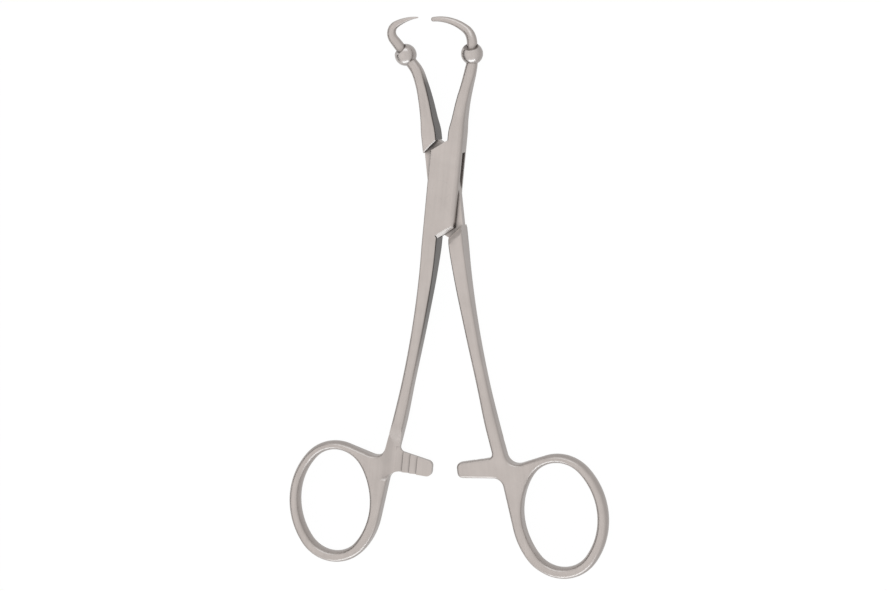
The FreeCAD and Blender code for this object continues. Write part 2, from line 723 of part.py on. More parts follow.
def pivot_rivet():
    """A pin with a low cone at each end, set flush in the walls of the box."""
    body = doc.addObject("PartDesign::Body", "pivot_rivet")
    body.Label = "pivot_rivet"
    face = "Sizes.box_thickness / 2"
    inner = "%s - Sizes.rivet_head_depth" % face
    sketch = new_sketch(body, "rivet_outline", "XZ_Plane")
    draw_polygon(sketch, [("0", "-(%s)" % face), ("Sizes.rivet_head_radius", "-(%s)" % face),
                          ("Sizes.rivet_radius", "-(%s)" % inner), ("Sizes.rivet_radius", inner),
                          ("Sizes.rivet_head_radius", face), ("0", face)])
    pin = body.newObject("PartDesign::Revolution", "pin")
    pin.Profile = sketch
    pin.ReferenceAxis = (sketch, ["V_Axis"])
    pin.Angle = 360
    doc.recompute()
    place_half(body, False, 0)
    return body


def ball_stop(half):
    """A bead with a flat foot and a dished top, bored for the tine's root and seated on the neck."""
    body = doc.addObject("PartDesign::Body", "ball_stop_" + half)
    body.Label = "ball_stop_" + half
    radius, below, above = value("Sizes.ball_radius"), value("Sizes.ball_below"), value("Sizes.ball_above")
    bore = value("Sizes.tine_root_radius + Sizes.ball_fit")
    foot = math.sqrt(radius ** 2 - below ** 2)
    rim = math.sqrt(radius ** 2 - above ** 2)
    sketch = new_sketch(body, "bead_outline", "XY_Plane")
    ball = Part.Circle(FreeCAD.Vector(0, 0, 0), FreeCAD.Vector(0, 0, 1), radius)
    side_arc = Part.ArcOfCircle(ball, math.atan2(-below, foot), math.atan2(above, rim))
    flank = sketch.addGeometry(side_arc, False)
    top = sketch.addGeometry(line((rim, above), (bore, above - value("Sizes.ball_dish"))), False)
    hole = sketch.addGeometry(line((bore, above - value("Sizes.ball_dish")), (bore, -below)), False)
    seat = sketch.addGeometry(line((bore, -below), (foot, -below)), False)
    for first, second in ((flank, top), (top, hole), (hole, seat), (seat, flank)):
        join(sketch, first, second)
    sketch.addConstraint(Sketcher.Constraint("Coincident", flank, 3, -1, 1))
    size = sketch.addConstraint(Sketcher.Constraint("Radius", flank, radius))
    bind(sketch, "Constraints[%d]" % size, "Sizes.ball_radius")
    bore_size = "Sizes.tine_root_radius + Sizes.ball_fit"
    fix_point(sketch, hole, 1, bore_size, "Sizes.ball_above - Sizes.ball_dish")
    fix_point(sketch, seat, 1, bore_size, "-Sizes.ball_below")
    for curve, height in ((top, "Sizes.ball_above"), (flank, "-Sizes.ball_below")):
        index = sketch.addConstraint(Sketcher.Constraint("DistanceY", -1, 1, curve, 1, value(height)))
        bind(sketch, "Constraints[%d]" % index, height)
    bead = body.newObject("PartDesign::Revolution", "bead")
    bead.Profile = sketch
    bead.ReferenceAxis = (sketch, ["V_Axis"])
    bead.Angle = 360
    doc.recompute()
    side, turned_over = (1, False) if half == "box" else (-1, True)
    offset, reach = value("Sizes.%s_ball_offset" % half), value("Sizes.%s_ball_reach" % half)
    centre = FreeCAD.Vector(side * offset, reach, 0)
    lean = FreeCAD.Rotation(FreeCAD.Vector(0, 0, 1), -side * value("Sizes.%s_ball_lean" % half))
    spin = FreeCAD.Rotation(FreeCAD.Vector(0, 0, 1), -side * value("Sizes.rest_half_angle"))
    lift = FreeCAD.Vector(0, 0, value("Sizes.box_thickness / 2"))
    body.Placement = FreeCAD.Placement(lift + spin.multVec(centre), spin.multiply(lean))
    return body


def main():
    fill_sheet()
    pieces = [box_half(), tongue_half(), pivot_rivet(), ball_stop("box"), ball_stop("tongue")]
    doc.recompute()
    failed = [item.Name for item in doc.Objects if "Invalid" in item.State or "Error" in item.State]
    failed += [piece.Label for piece in pieces if piece.Shape.isNull() or not piece.Shape.isValid()]
    if failed:
        raise ValueError("not built: " + ", ".join(failed))
    os.makedirs("parts", exist_ok=True)
    for piece in pieces:
        piece.Shape.exportStep("parts/%s.step" % piece.Label)
        print(piece.Label, round(piece.Shape.Volume, 2), len(piece.Shape.Solids), piece.Shape.BoundBox)


main()
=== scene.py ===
import math
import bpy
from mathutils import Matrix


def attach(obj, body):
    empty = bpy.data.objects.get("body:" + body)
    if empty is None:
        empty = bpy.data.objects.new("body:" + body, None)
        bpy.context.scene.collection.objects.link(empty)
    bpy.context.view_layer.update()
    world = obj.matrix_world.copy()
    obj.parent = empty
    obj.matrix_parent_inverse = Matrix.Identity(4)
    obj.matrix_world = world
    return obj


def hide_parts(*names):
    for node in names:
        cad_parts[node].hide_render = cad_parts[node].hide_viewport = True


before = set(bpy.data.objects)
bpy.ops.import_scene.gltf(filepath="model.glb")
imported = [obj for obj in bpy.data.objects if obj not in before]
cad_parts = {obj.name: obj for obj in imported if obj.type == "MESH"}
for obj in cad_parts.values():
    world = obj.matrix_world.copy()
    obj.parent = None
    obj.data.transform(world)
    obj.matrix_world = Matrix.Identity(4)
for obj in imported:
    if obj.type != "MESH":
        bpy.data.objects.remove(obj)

from types import SimpleNamespace

import bmesh
import bpy
import numpy as np
from mathutils import Matrix, Vector
from mathutils.geometry import tessellate_polygon

bl_info = {
    "name": "Towel forceps",
    "version": (1, 0, 0),
    "blender": (4, 5, 0),
    "location": "View3D > Sidebar > Forceps",
    "description": "Dresses the box-lock towel forceps in satin steel and sets its stage",
    "category": "Add Mesh",
}

# The halves are shaped in millimetres in their own closed frame, as in the part's source: the lock bar lies
# along Y about the pivot, the jaw stands at +X and the shank at -X, and Z = 0 is the middle of the lock.
MM = 0.001
# how far shapes start inside each other, and how far cutters and hidden ends run on past a face
INSIDE = 0.005
OVERCUT = 1.0
BEVEL_OVER = 0.1
# an oval's end radius against a true ellipse's, and the neck's corner radius against a full circle's
OVAL_FULLNESS = 1.09
NECK_FULLNESS = 0.98
# lengths of the steps along arcs and limbs, and numbers of steps and sides
ARC_STEP = 0.35
SECTION_STEP = 0.7
TINE_STEPS = 180
TINE_SIDES = 40
RAMP_STEPS = 12
CORNER_STEPS = 8
TURNED_SIDES = 96
# keeps a little width at a tine's very point
BLUNT = 0.0004
SHARP_ANGLE = math.radians(32)
# name, place, size, power and tint of each lamp, in metres and watts. They all face the pivot.
COOL, WHITE = (0.82, 0.93, 1.0), (1, 1, 1)
LAMPS = (("overhead", (-0.30, -0.05, 0.95), (0.7, 0.7), 0.15, WHITE),
         ("front_strip", (0.05, -0.75, 0.16), (0.8, 0.24), 1.45, COOL),
         ("left_fill", (-0.8, 0.15, 0.35), (0.5, 0.5), 0.1, WHITE),
         ("back_strip", (0.0, 0.8, 0.45), (0.8, 0.3), 0.9, COOL))
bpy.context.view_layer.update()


def length(name, description, size):
    """A property that holds a length, given here in millimetres."""
    return bpy.props.FloatProperty(name=name, description=description, default=size * MM, unit="LENGTH",
                                   precision=5)


def angle(name, description, size):
    """A property that holds an angle, given here in degrees."""
    return bpy.props.FloatProperty(name=name, description=description, default=math.radians(size),
                                   unit="ROTATION")


def colour(name, description, value):
    """A property that holds a colour."""
    return bpy.props.FloatVectorProperty(name=name, description=description, default=value, subtype="COLOR",
                                         size=3, min=0, max=1)


def share(name, description, value):
    """A property that holds a share from 0 to 1."""
    return bpy.props.FloatProperty(name=name, description=description, default=value, min=0, max=1,
                                   subtype="FACTOR")


def station(name, description, sizes):
    """A property that holds a limb's station: offset, reach, width, thickness and corner radius, given here
    in millimetres."""
    return bpy.props.FloatVectorProperty(name=name, description=description, size=5, unit="LENGTH",
                                         default=[size * MM for size in sizes], precision=5)


class LockSizes(bpy.types.PropertyGroup):
    bar_width: length("Bar width", "Width of the lock bar of each half", 7.4)
    thickness: length("Box thickness", "Thickness of the box from front to back", 5.2)
    slot: length("Slot", "Height of the slot between the walls of the box", 2.0)
    tongue: length("Tongue", "Thickness of the tongue in the slot", 1.9)
    slope: angle("Slope", "Angle of the slanting ends of the lock", 37)
    wall_end: length("Wall end", "Reach of the walls' slanting ends at the bar's edge", 8.6)
    slot_end: length("Slot end", "Reach of the slot at the bar's edge", 8.95)
    tongue_end: length("Tongue end", "Reach of the tongue's slanting ends at the bar's edge", 8.6)
    shoulder: length("Shoulder", "Reach of the steps from the tongue up to jaw and shank", 8.788)
    crotch: length("Crotch", "Distance of the jaw's and the shank's inner side from the middle", 0.15)
    edge_round: length("Edge round", "Radius of the lock bar's long edges", 0.45)
    fuller_round: length("Fuller round", "How much larger that radius is on the jaw's outer side", 0.7)
    box_bevel: length("Box bevel", "Bevel at the shank end of the box", 0.8)
    jaw_bevel: length("Jaw bevel", "Bevel at the jaw's step", 0.25)
    ramp_run: length("Ramp run", "Length of the ramp at the shank's step", 1.3)
    ramp_depth: length("Ramp depth", "Depth of the ramp at the shank's step", 0.8)
    root_reach: length("Root reach", "Where the roots of jaw and shank end", 13.0)
    rest_angle: angle("Rest angle", "How far each half stands from the closed pose", 6)
    bore_radius: length("Bore radius", "Radius of the rivet's bore in the box", 1.51)
    sink_radius: length("Sink radius", "Radius of the countersinks in the box", 2.11)
    sink_depth: length("Sink depth", "Depth of the countersinks in the box", 0.6)
    tongue_bore: length("Tongue bore", "Radius of the rivet's bore in the tongue", 1.53)


class PlateSizes(bpy.types.PropertyGroup):
    reach: length("Reach", "Distance of the ratchet arm's upper edge from the pivot", 63.6)
    thickness: length("Thickness", "Thickness of ring, web and arm", 3.8)
    edge_round: length("Edge round", "Radius of the edges of arm, web and stem", 0.85)
    ring_round: length("Ring round", "How far the ring's oval section rounds its front and back", 1.04)
    ring_depth: length("Ring depth", "How far that rounding runs down the ring's sides", 1.85)
    ring_blend: length("Ring blend", "Length over which the web's rounding changes to the ring's", 4.0)
    foot_offset: length("Foot offset", "Offset of the stem's upper end", 5.8)
    foot_reach: length("Foot reach", "Distance of the stem's upper end from the pivot", 57.5)
    foot_width: length("Foot width", "Width of the stem's upper end", 2.95)
    foot_lean: angle("Foot lean", "Lean of the stem", 9)
    ring_offset: length("Ring offset", "Offset of the ring's centre", 19.85)
    ring_reach: length("Ring reach", "Distance of the ring's centre along the instrument", 78.1)
    ring_tilt: angle("Ring tilt", "Tilt of the ring's long axis", 1.5)
    ring_length: length("Ring length", "Length of the finger opening", 24.8)
    ring_width: length("Ring width", "Width of the finger opening", 18.1)
    side_limb: length("Side limb", "Width of the ring at its sides", 2.55)
    top_limb: length("Top limb", "Width of the ring at its top", 2.1)
    bottom_limb: length("Bottom limb", "Width of the ring at its bottom", 2.7)
    saddle_offset: length("Saddle offset", "Offset of the hollow between stem and ring", 8.75)
    saddle_reach: length("Saddle reach", "Distance of that hollow from the pivot", 66.2)
    saddle_radius: length("Saddle radius", "Radius of that hollow", 2.8)
    armpit_offset: length("Armpit offset", "Offset of the hollow between arm and ring", 6.8)
    armpit_radius: length("Armpit radius", "Radius of that hollow", 2.4)
    elbow_radius: length("Elbow radius", "Radius of the hollow between arm and stem", 1.1)


class ArmSizes(bpy.types.PropertyGroup):
    bottom_reach: length("Bottom reach", "Distance of the arm's lower edge from the pivot", 68.65)
    slope: angle("Slope", "Fall of the arm's upper edge", 9)
    tip_radius: length("Tip radius", "Radius of the arm's end corners", 1.3)
    box_length: length("Box arm", "Reach of the box half's arm past the middle", 3.3)
    tongue_length: length("Tongue arm", "Reach of the tongue half's arm past the middle", 3.9)
    tongue_lift: length("Tongue arm lift", "How far the end of that arm is bent up", 0.6)
    clearance: length("Clearance", "Half the distance between the crests of the two arms", 0.05)
    tooth_pitch: length("Tooth pitch", "Distance from tooth to tooth", 1.8)
    tooth_depth: length("Tooth depth", "Depth of the teeth", 0.55)
    tooth_start: length("Tooth start", "Distance of the first tooth from the middle", 0.45)
    tooth_count: bpy.props.IntProperty(name="Teeth", description="Number of teeth on each arm", default=3)
    root_run: length("Root run", "Length of the soft ramp down into the recess at the arm's root", 3.4)
    stem_run: length("Stem run", "Length of that ramp up the stem", 7.5)
    web_run: length("Web run", "Length of that ramp below the arm", 2.6)
    mill_margin: length("Mill margin", "Distance of the recess's flat below the arm's two edges", 0.2)


class LimbSizes(bpy.types.PropertyGroup):
    foot_depth: length("Foot depth", "How far the shank runs on inside the stem", 4.0)
    waist: station("Waist", "The shank where it is narrowest", (4.33, 46.0, 2.65, 3.6, 0.9))
    shank_middle: station("Shank middle", "The shank half way down", (2.8, 31.0, 2.95, 3.8, 0.75))
    shank_upper: station("Shank upper", "The shank below the lock", (2.05, 19.0, 3.4, 4.5, 0.5))
    jaw_lower: station("Jaw lower", "The jaw above the lock", (2.1, 16.7, 3.0, 4.6, 0.5))
    jaw_middle: station("Jaw middle", "The jaw half way up", (2.38, 20.5, 2.7, 4.05, 0.6))
    jaw_upper: station("Jaw upper", "The jaw below its neck", (2.95, 24.5, 2.5, 3.45, 0.8))


# property, kind, name, description, and the value for the box half and for the tongue half
TINE_SIZES = (
    ("ball_offset", length, "Ball offset", "Offset of the ball stop's centre", 3.38, 6.16),
    ("ball_reach", length, "Ball reach", "Distance of the ball stop's centre from the pivot", 31.9, 31.7),
    ("ball_lean", angle, "Ball lean", "Lean of the ball stop's axis", -5, 32),
    ("neck_below", length, "Neck", "Distance of the neck's lower end from the ball stop's centre", 4.0, 4.2),
    ("neck_lean", angle, "Neck lean", "Direction of the neck's lower end from the ball stop", -0.8, 32),
    ("rise", length, "Rise", "Length of the tine from the ball stop's centre to its elbow", 1.9, 4.4),
    ("elbow_radius", length, "Elbow radius", "Radius of the tine's elbow", 4.5, 2.4),
    ("elbow_turn", angle, "Elbow turn", "Turn of the tine at its elbow", 54, 97),
    ("out_length", length, "Tine length", "Length of the tine beyond its elbow", 8.9, 5.8),
    ("out_turn", angle, "Tine turn", "Turn of the tine beyond its elbow", 46, 28),
    ("knee_radius", length, "Knee radius", "Radius of the tine at the end of its elbow", 1.0, 0.82),
    ("tip_radius", length, "Tip radius", "Radius of the tine's point", 0.5, 0.14))


class BoxTineSizes(bpy.types.PropertyGroup):
    __annotations__ = {key: kind(name, text, box) for key, kind, name, text, box, tongue in TINE_SIZES}


class TongueTineSizes(bpy.types.PropertyGroup):
    __annotations__ = {key: kind(name, text, tongue) for key, kind, name, text, box, tongue in TINE_SIZES}


class JawSizes(bpy.types.PropertyGroup):
    neck_radius: length("Neck radius", "Radius of the neck below the ball stop", 1.33)
    neck_thickness: length("Neck thickness", "Thickness of the neck's lower end", 2.86)
    neck_corner: length("Neck corner", "Corner radius of the neck's lower end", 1.1)
    ball_radius: length("Ball radius", "Radius of the ball stop", 2.55)
    ball_below: length("Ball foot", "Distance of the ball's flat foot from its centre", 2.18)
    ball_above: length("Ball top", "Distance of the ball's rim from its centre", 1.8)
    ball_dish: length("Ball dish", "Depth of the dish round the tine's root", 0.3)
    ball_tilt: angle("Ball tilt", "How far the dish turns towards the front of the instrument", 27)
    rim_round: length("Rim round", "Radius of the ball's rim", 0.16)
    root_radius: length("Tine root", "Radius of the tine in the ball stop", 1.2)
    root_depth: length("Root depth", "How far the tine runs on inside the ball stop", 1.0)
    tine_set: length("Tine set", "Distance of each point from the middle plane", 0.85)


class FinishSettings(bpy.types.PropertyGroup):
    steel: colour("Steel", "Colour of the satin steel", (0.50, 0.452, 0.425))
    bead: colour("Bead steel", "Colour of the ball stops", (0.52, 0.475, 0.45))
    # painted shade: faces that turn away from front and back are darkened in their colour
    side: share("Side tone", "How much darker all faces are that turn away from front and back", 0.30)
    # painted shade on the side faces in the two crotches, fading out along jaw and shank
    crotch: share("Crotch tone", "How much darker the dull side faces in the two crotches are", 0.74)
    crotch_start: length("Crotch start", "Distance from the pivot where those faces begin", 9.5)
    crotch_fade: length("Crotch fade", "Distance from the pivot where those faces begin to brighten", 24)
    jaw_fade: length("Jaw fade", "Distance from the pivot where the jaw's side is fully bright", 28)
    shank_fade: length("Shank fade", "Distance from the pivot where the shank's side is fully bright", 50)
    # painted shade in grooves and seams, from occlusion
    cavity: share("Cavity tone", "How much darker grooves and seams are", 0.8)
    cavity_reach: length("Cavity reach", "How far a surface must be from the next to be free", 1.5)
    drift: share("Tone drift", "Strength of the slow change of tone", 0.10)
    roughness: share("Roughness", "Roughness of the satin faces", 0.36)
    bead_roughness: share("Bead roughness", "Roughness of the ball stops", 0.28)
    worn: share("Worn roughness", "Roughness of the edges that handling has polished", 0.22)
    # worn edges: lower roughness from handling, and a painted highlight that brightens their colour
    wear_and_sheen: share("Wear and sheen tone", "How much brighter the polished edges are", 0.14)
    edge_radius: length("Edge wear", "Width of the polished line along the edges", 0.12)
    grain: share("Grain", "Strength of the grain's relief", 0.35)
    grain_depth: length("Grain depth", "Depth of the grain's relief", 0.004)
    grain_spread: share("Grain spread", "How much the grain changes the roughness", 0.16)


class StageSettings(bpy.types.PropertyGroup):
    floor: colour("Floor", "Colour of the floor and the backdrop", (1.0, 1.0, 1.0))
    floor_reach: length("Floor reach", "How far the floor runs each way", 3000)
    glow: bpy.props.FloatProperty(name="Glow", description="Brightness that makes up for the floor's shadow",
                                  default=1.03)
    paper: share("Paper", "How much light the floor throws back", 0.9)
    around: colour("Around", "Colour of the room's own light", (0.55, 0.55, 0.56))
    shadow: share("Shadow", "How much of the object's shadow shows on the floor", 0.05)
    flag: colour("Flag", "Colour of the low dark flag beside the table", (0.20, 0.20, 0.20))
    flag_distance: length("Flag distance", "Distance of the flag from the object", 500)
    flag_low: length("Flag foot", "Height of the flag's lower edge", 0)
    flag_high: length("Flag height", "Height of the flag's upper edge", 200)
    lens: bpy.props.FloatProperty(name="Lens", description="Focal length of the camera", default=113.64,
                                  unit="CAMERA")
    camera_x: length("Camera X", "Place of the camera along X", 204.17)
    camera_y: length("Camera Y", "Place of the camera along Y", 68.65)
    camera_z: length("Camera Z", "Height of the camera", 616.42)
    camera_tilt: angle("Camera tilt", "Turn of the camera about X", -8.337)
    camera_pan: angle("Camera pan", "Turn of the camera about Y", 18.40)
    camera_roll: angle("Camera roll", "Turn of the camera about Z", -0.296)


def sizes_of(name):
    """The scene's settings of one name, with their lengths in millimetres and other values as they are."""
    group = getattr(bpy.context.scene, "forceps_" + name)
    sizes = SimpleNamespace()
    for key in group.__annotations__:
        number = getattr(group, key)
        if group.bl_rna.properties[key].unit == "LENGTH":
            number = [part / MM for part in number] if hasattr(number, "__len__") else number / MM
        setattr(sizes, key, number)
    return sizes


# shapes in a half's own frame, in millimetres

def turned(direction):
    """The unit vector at an angle from +X."""
    return Vector((math.cos(direction), math.sin(direction)))


def arc(centre, radius, first, last):
    """Points along an arc, its two ends included."""
    count = max(3, math.ceil(abs(last - first) * radius / ARC_STEP))
    return [centre + turned(first + (last - first) * step / count) * radius for step in range(count + 1)]


def oval_arcs(centre, tilt, long_half, short_half):
    """The four arcs of an oval as centre, radius, first and last angle."""
    end_radius = OVAL_FULLNESS * short_half ** 2 / long_half
    side_radius = long_half ** 2 + short_half ** 2 - 2 * long_half * end_radius
    side_radius /= 2 * (short_half - end_radius)
    span = math.atan2(side_radius - short_half, long_half - end_radius)
    arcs = []
    for quarter in range(4):
        middle = tilt + math.pi / 2 * quarter
        at_end = quarter % 2 == 0
        radius, half = (end_radius, span) if at_end else (side_radius, math.pi / 2 - span)
        reach = (long_half if at_end else short_half) - radius
        arcs.append((centre + turned(middle) * reach, radius, middle - half, middle + half))
    return arcs


def touching(arcs, corner, side):
    """Number and angle of the arc that a straight side from a corner outside the oval touches."""
    for number, (centre, radius, first, last) in enumerate(arcs):
        offset = corner - centre
        direction = math.atan2(offset.y, offset.x) + side * math.acos(min(radius / offset.length, 1))
        while direction < first:
            direction += 2 * math.pi
        if direction <= last:
            return number, direction
    raise ValueError("no side touches the ring")


def oval(arcs, start=None, end=None):
    """Points round the whole oval, or from one touching point to another."""
    numbers = list(range(4))
    if start:
        numbers = [(start[0] + step) % 4 for step in range((end[0] - start[0]) % 4 + 1)]
    points = []
    for place, number in enumerate(numbers):
        centre, radius, first, last = arcs[number]
        first = start[1] if start and place == 0 else first
        last = end[1] if end and place == len(numbers) - 1 else last
        points += arc(centre, radius, first, last)[1 if place else 0:]
    return points if start else points[:-1]


def rounded_corner(before, corner, after, radius):
    """The arc that rounds a corner between two straight sides."""
    into, out = (before - corner).normalized(), (after - corner).normalized()
    half = into.angle(out) / 2
    centre = corner + (into + out).normalized() * radius / math.sin(half)
    first, last = corner + into * radius / math.tan(half), corner + out * radius / math.tan(half)
    begin = math.atan2(*(first - centre).yx)
    finish = math.atan2(*(last - centre).yx)
    while finish - begin > math.pi:
        finish -= 2 * math.pi
    while finish - begin < -math.pi:
        finish += 2 * math.pi
    return arc(centre, radius, begin, finish)


def inset(points, distances):
    """A closed outline moved inwards, to the left of its direction, by a distance for each point."""
    moved = []
    for before, point, after, distance in zip(points[-1:] + points[:-1], points, points[1:] + points[:1],
                                              distances):
        along = (after - before).normalized()
        moved.append(point + Vector((-along.y, along.x)) * distance)
    return moved


def add_wall(shape, outline, plate):
    """A wall round a flat outline. Its front and back edges are rounded, little on arm and stem and into an
    oval section on the ring. Returns the front and back rims."""
    roundings = []
    for point in outline:
        part = min(max((-plate.armpit_offset - plate.ring_blend - point.x) / plate.ring_blend, 0), 1)
        part *= part * (3 - 2 * part)
        roundings.append((plate.edge_round + (plate.ring_round - plate.edge_round) * part,
                          plate.edge_round + (plate.ring_depth - plate.edge_round) * part))
    rows = []
    turns = [math.pi / 2 * step / CORNER_STEPS for step in range(CORNER_STEPS + 1)]
    for side, turn in [(-1, turn) for turn in turns] + [(1, turn) for turn in turns[::-1]]:
        backs = [back * (1 - math.sin(turn)) for back, depth in roundings]
        heights = [plate.thickness / 2 - depth * (1 - math.cos(turn)) for back, depth in roundings]
        rows.append([shape.verts.new((*point, side * height))
                     for point, height in zip(inset(outline, backs), heights)])
    for lower, upper in zip(rows, rows[1:]):
        for index in range(len(outline)):
            after = (index + 1) % len(outline)
            shape.faces.new((lower[index], lower[after], upper[after], upper[index]))
    return rows[-1], rows[0]


def add_face(shape, *rims):
    """Flat triangles between an outer rim and the rims of its holes."""
    corners = [vertex for rim in rims for vertex in rim]
    for triangle in tessellate_polygon([[vertex.co for vertex in rim] for rim in rims]):
        shape.faces.new([corners[index] for index in triangle])


def new_object(name, shape):
    """An object from a shape whose doubles are merged and whose faces point outwards."""
    bmesh.ops.remove_doubles(shape, verts=shape.verts, dist=1e-5)
    bmesh.ops.recalc_face_normals(shape, faces=shape.faces)
    mesh = bpy.data.meshes.new(name)
    shape.to_mesh(mesh)
    shape.free()
    thing = bpy.data.objects.new(name, mesh)
    bpy.context.scene.collection.objects.link(thing)
    return thing


def prism(name, outline, low, high):
    """A straight prism over a flat outline."""
    shape = bmesh.new()
    rows = [[shape.verts.new((x, y, height)) for x, y in outline] for height in (low, high)]
    for index in range(len(outline)):
        after = (index + 1) % len(outline)
        shape.faces.new((rows[0][index], rows[0][after], rows[1][after], rows[1][index]))
    shape.faces.new(rows[0][::-1])
    shape.faces.new(rows[1])
    return new_object(name, shape)


def rounded_section(width, height, radius, fuller=0):
    """A rounded rectangle about the origin, whose +X side can be rounded more than the other."""
    points = []
    for quarter, (side_x, side_y) in enumerate(((1, -1), (1, 1), (-1, 1), (-1, -1))):
        corner = radius + fuller * (side_x > 0)
        centre = Vector((side_x * (width / 2 - corner), side_y * (height / 2 - corner)))
        for step in range(CORNER_STEPS + 1):
            points.append(centre + turned(math.pi / 2 * (quarter - 1 + step / CORNER_STEPS)) * corner)
    return points


def loft(name, rings):
    """A closed skin over rings of points, with flat ends."""
    shape = bmesh.new()
    rows = [[shape.verts.new(point) for point in ring] for ring in rings]
    for lower, upper in zip(rows, rows[1:]):
        for index in range(len(lower)):
            after = (index + 1) % len(lower)
            shape.faces.new((lower[index], lower[after], upper[after], upper[index]))
    shape.faces.new(rows[0][::-1])
    shape.faces.new(rows[-1])
    return new_object(name, shape)


def flow(stations):
    """Rows of x, y, width, thickness, corner and heading on smooth curves through the given stations, which
    hold x, y, lean or None, width, thickness and corner. A station with a lean keeps its direction, and the
    first and last keep their section."""
    table = np.array([[s[0], s[1], *s[3:]] for s in stations], float)
    spans = np.hypot(*np.diff(table[:, :2], axis=0).T)
    steps = np.diff(table, axis=0) / spans[:, None]
    slopes = np.vstack([steps[:1], (steps[1:] * spans[:-1, None] + steps[:-1] * spans[1:, None])
                        / (spans[1:] + spans[:-1])[:, None], steps[-1:]])
    for row, station in zip(slopes, stations):
        if station[2] is not None:
            row[:2] = math.sin(station[2]), math.cos(station[2])
    slopes[1:-1, 2:] *= steps[1:, 2:] * steps[:-1, 2:] > 0
    slopes[[0, -1], 2:] = 0
    rows = []
    for number, span in enumerate(spans):
        count = max(2, math.ceil(span / SECTION_STEP))
        for step in range(count + (number == len(spans) - 1)):
            t = step / count
            place = ((2 * t ** 3 - 3 * t ** 2 + 1) * table[number]
                     + (t ** 3 - 2 * t ** 2 + t) * span * slopes[number]
                     + (3 * t ** 2 - 2 * t ** 3) * table[number + 1]
                     + (t ** 3 - t ** 2) * span * slopes[number + 1])
            heading = (6 * t ** 2 - 6 * t) * (table[number] - table[number + 1]) / span + \
                (3 * t ** 2 - 4 * t + 1) * slopes[number] + (3 * t ** 2 - 2 * t) * slopes[number + 1]
            rows.append((*place, math.atan2(heading[0], heading[1])))
    return rows


def limb(name, stations, fuller=0, fuller_end=1):
    """A limb with rounded sections along a smooth path. The fuller rounding of its +X side fades to nothing
    at a reach along Y."""
    rings = []
    first = stations[1][1]
    for x, y, width, thickness, corner, lean in flow(stations):
        across = Vector((math.cos(lean), -math.sin(lean)))
        place = Vector((x, y))
        faded = min(max((fuller_end - y) / (fuller_end - first), 0), 1)
        section = rounded_section(width, thickness, corner, fuller * faded)
        rings.append([(*(place + across * u), v) for u, v in section])
    return loft(name, rings)


def combine(target, tools, operation):
    """Joins or cuts the target with each tool in turn, and removes the tools."""
    for tool in tools:
        boolean = target.modifiers.new("combine", "BOOLEAN")
        boolean.operation = operation
        boolean.solver = "EXACT"
        boolean.object = tool
        settle(target)
        bpy.data.objects.remove(tool)
    return target


def settle(thing):
    """Turns the object and its modifiers into one plain mesh."""
    graph = bpy.context.evaluated_depsgraph_get()
    graph.update()
    mesh = bpy.data.meshes.new_from_object(thing.evaluated_get(graph))
    thing.modifiers.clear()
    old = thing.data
    thing.data = mesh
    bpy.data.meshes.remove(old)
    if not mesh.polygons:
        raise RuntimeError(thing.name + " has no faces left")


def smooth(thing):
    """Shades a piece smooth between its sharp edges, and keeps its flat faces flat."""
    shape = bmesh.new()
    shape.from_mesh(thing.data)
    bmesh.ops.dissolve_degenerate(shape, edges=shape.edges, dist=1e-6)
    for face in shape.faces:
        face.smooth = True
    for edge in shape.edges:
        edge.smooth = len(edge.link_faces) == 2 and edge.calc_face_angle(0) < SHARP_ANGLE
    shape.to_mesh(thing.data)
    shape.free()
    weighted = thing.modifiers.new("flat faces", "WEIGHTED_NORMAL")
    weighted.keep_sharp = True
    weighted.weight = 80
    settle(thing)


def half_matrix(turned_over):
    """From a half's own frame in millimetres to its place at rest in metres."""
    lock = sizes_of("lock")
    flip = Matrix.Rotation(math.pi if turned_over else 0, 4, "Y")
    spin = Matrix.Rotation(lock.rest_angle * (1 if turned_over else -1), 4, "Z")
    lift = Matrix.Translation((0, 0, lock.thickness / 2))
    return Matrix.Scale(MM, 4) @ lift @ spin @ flip


def finish_piece(thing, half, material, stands_for=()):
    """Puts a piece of a half in its place at rest, gives it its material and makes it ride on its body."""
    body = half + "_side"
    thing.data.transform(half_matrix(half == "tongue"))
    smooth(thing)
    thing.data.materials.clear()
    thing.data.materials.append(material)
    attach(thing, body)
    if stands_for:
        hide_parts(*stands_for)


# the pieces of a half

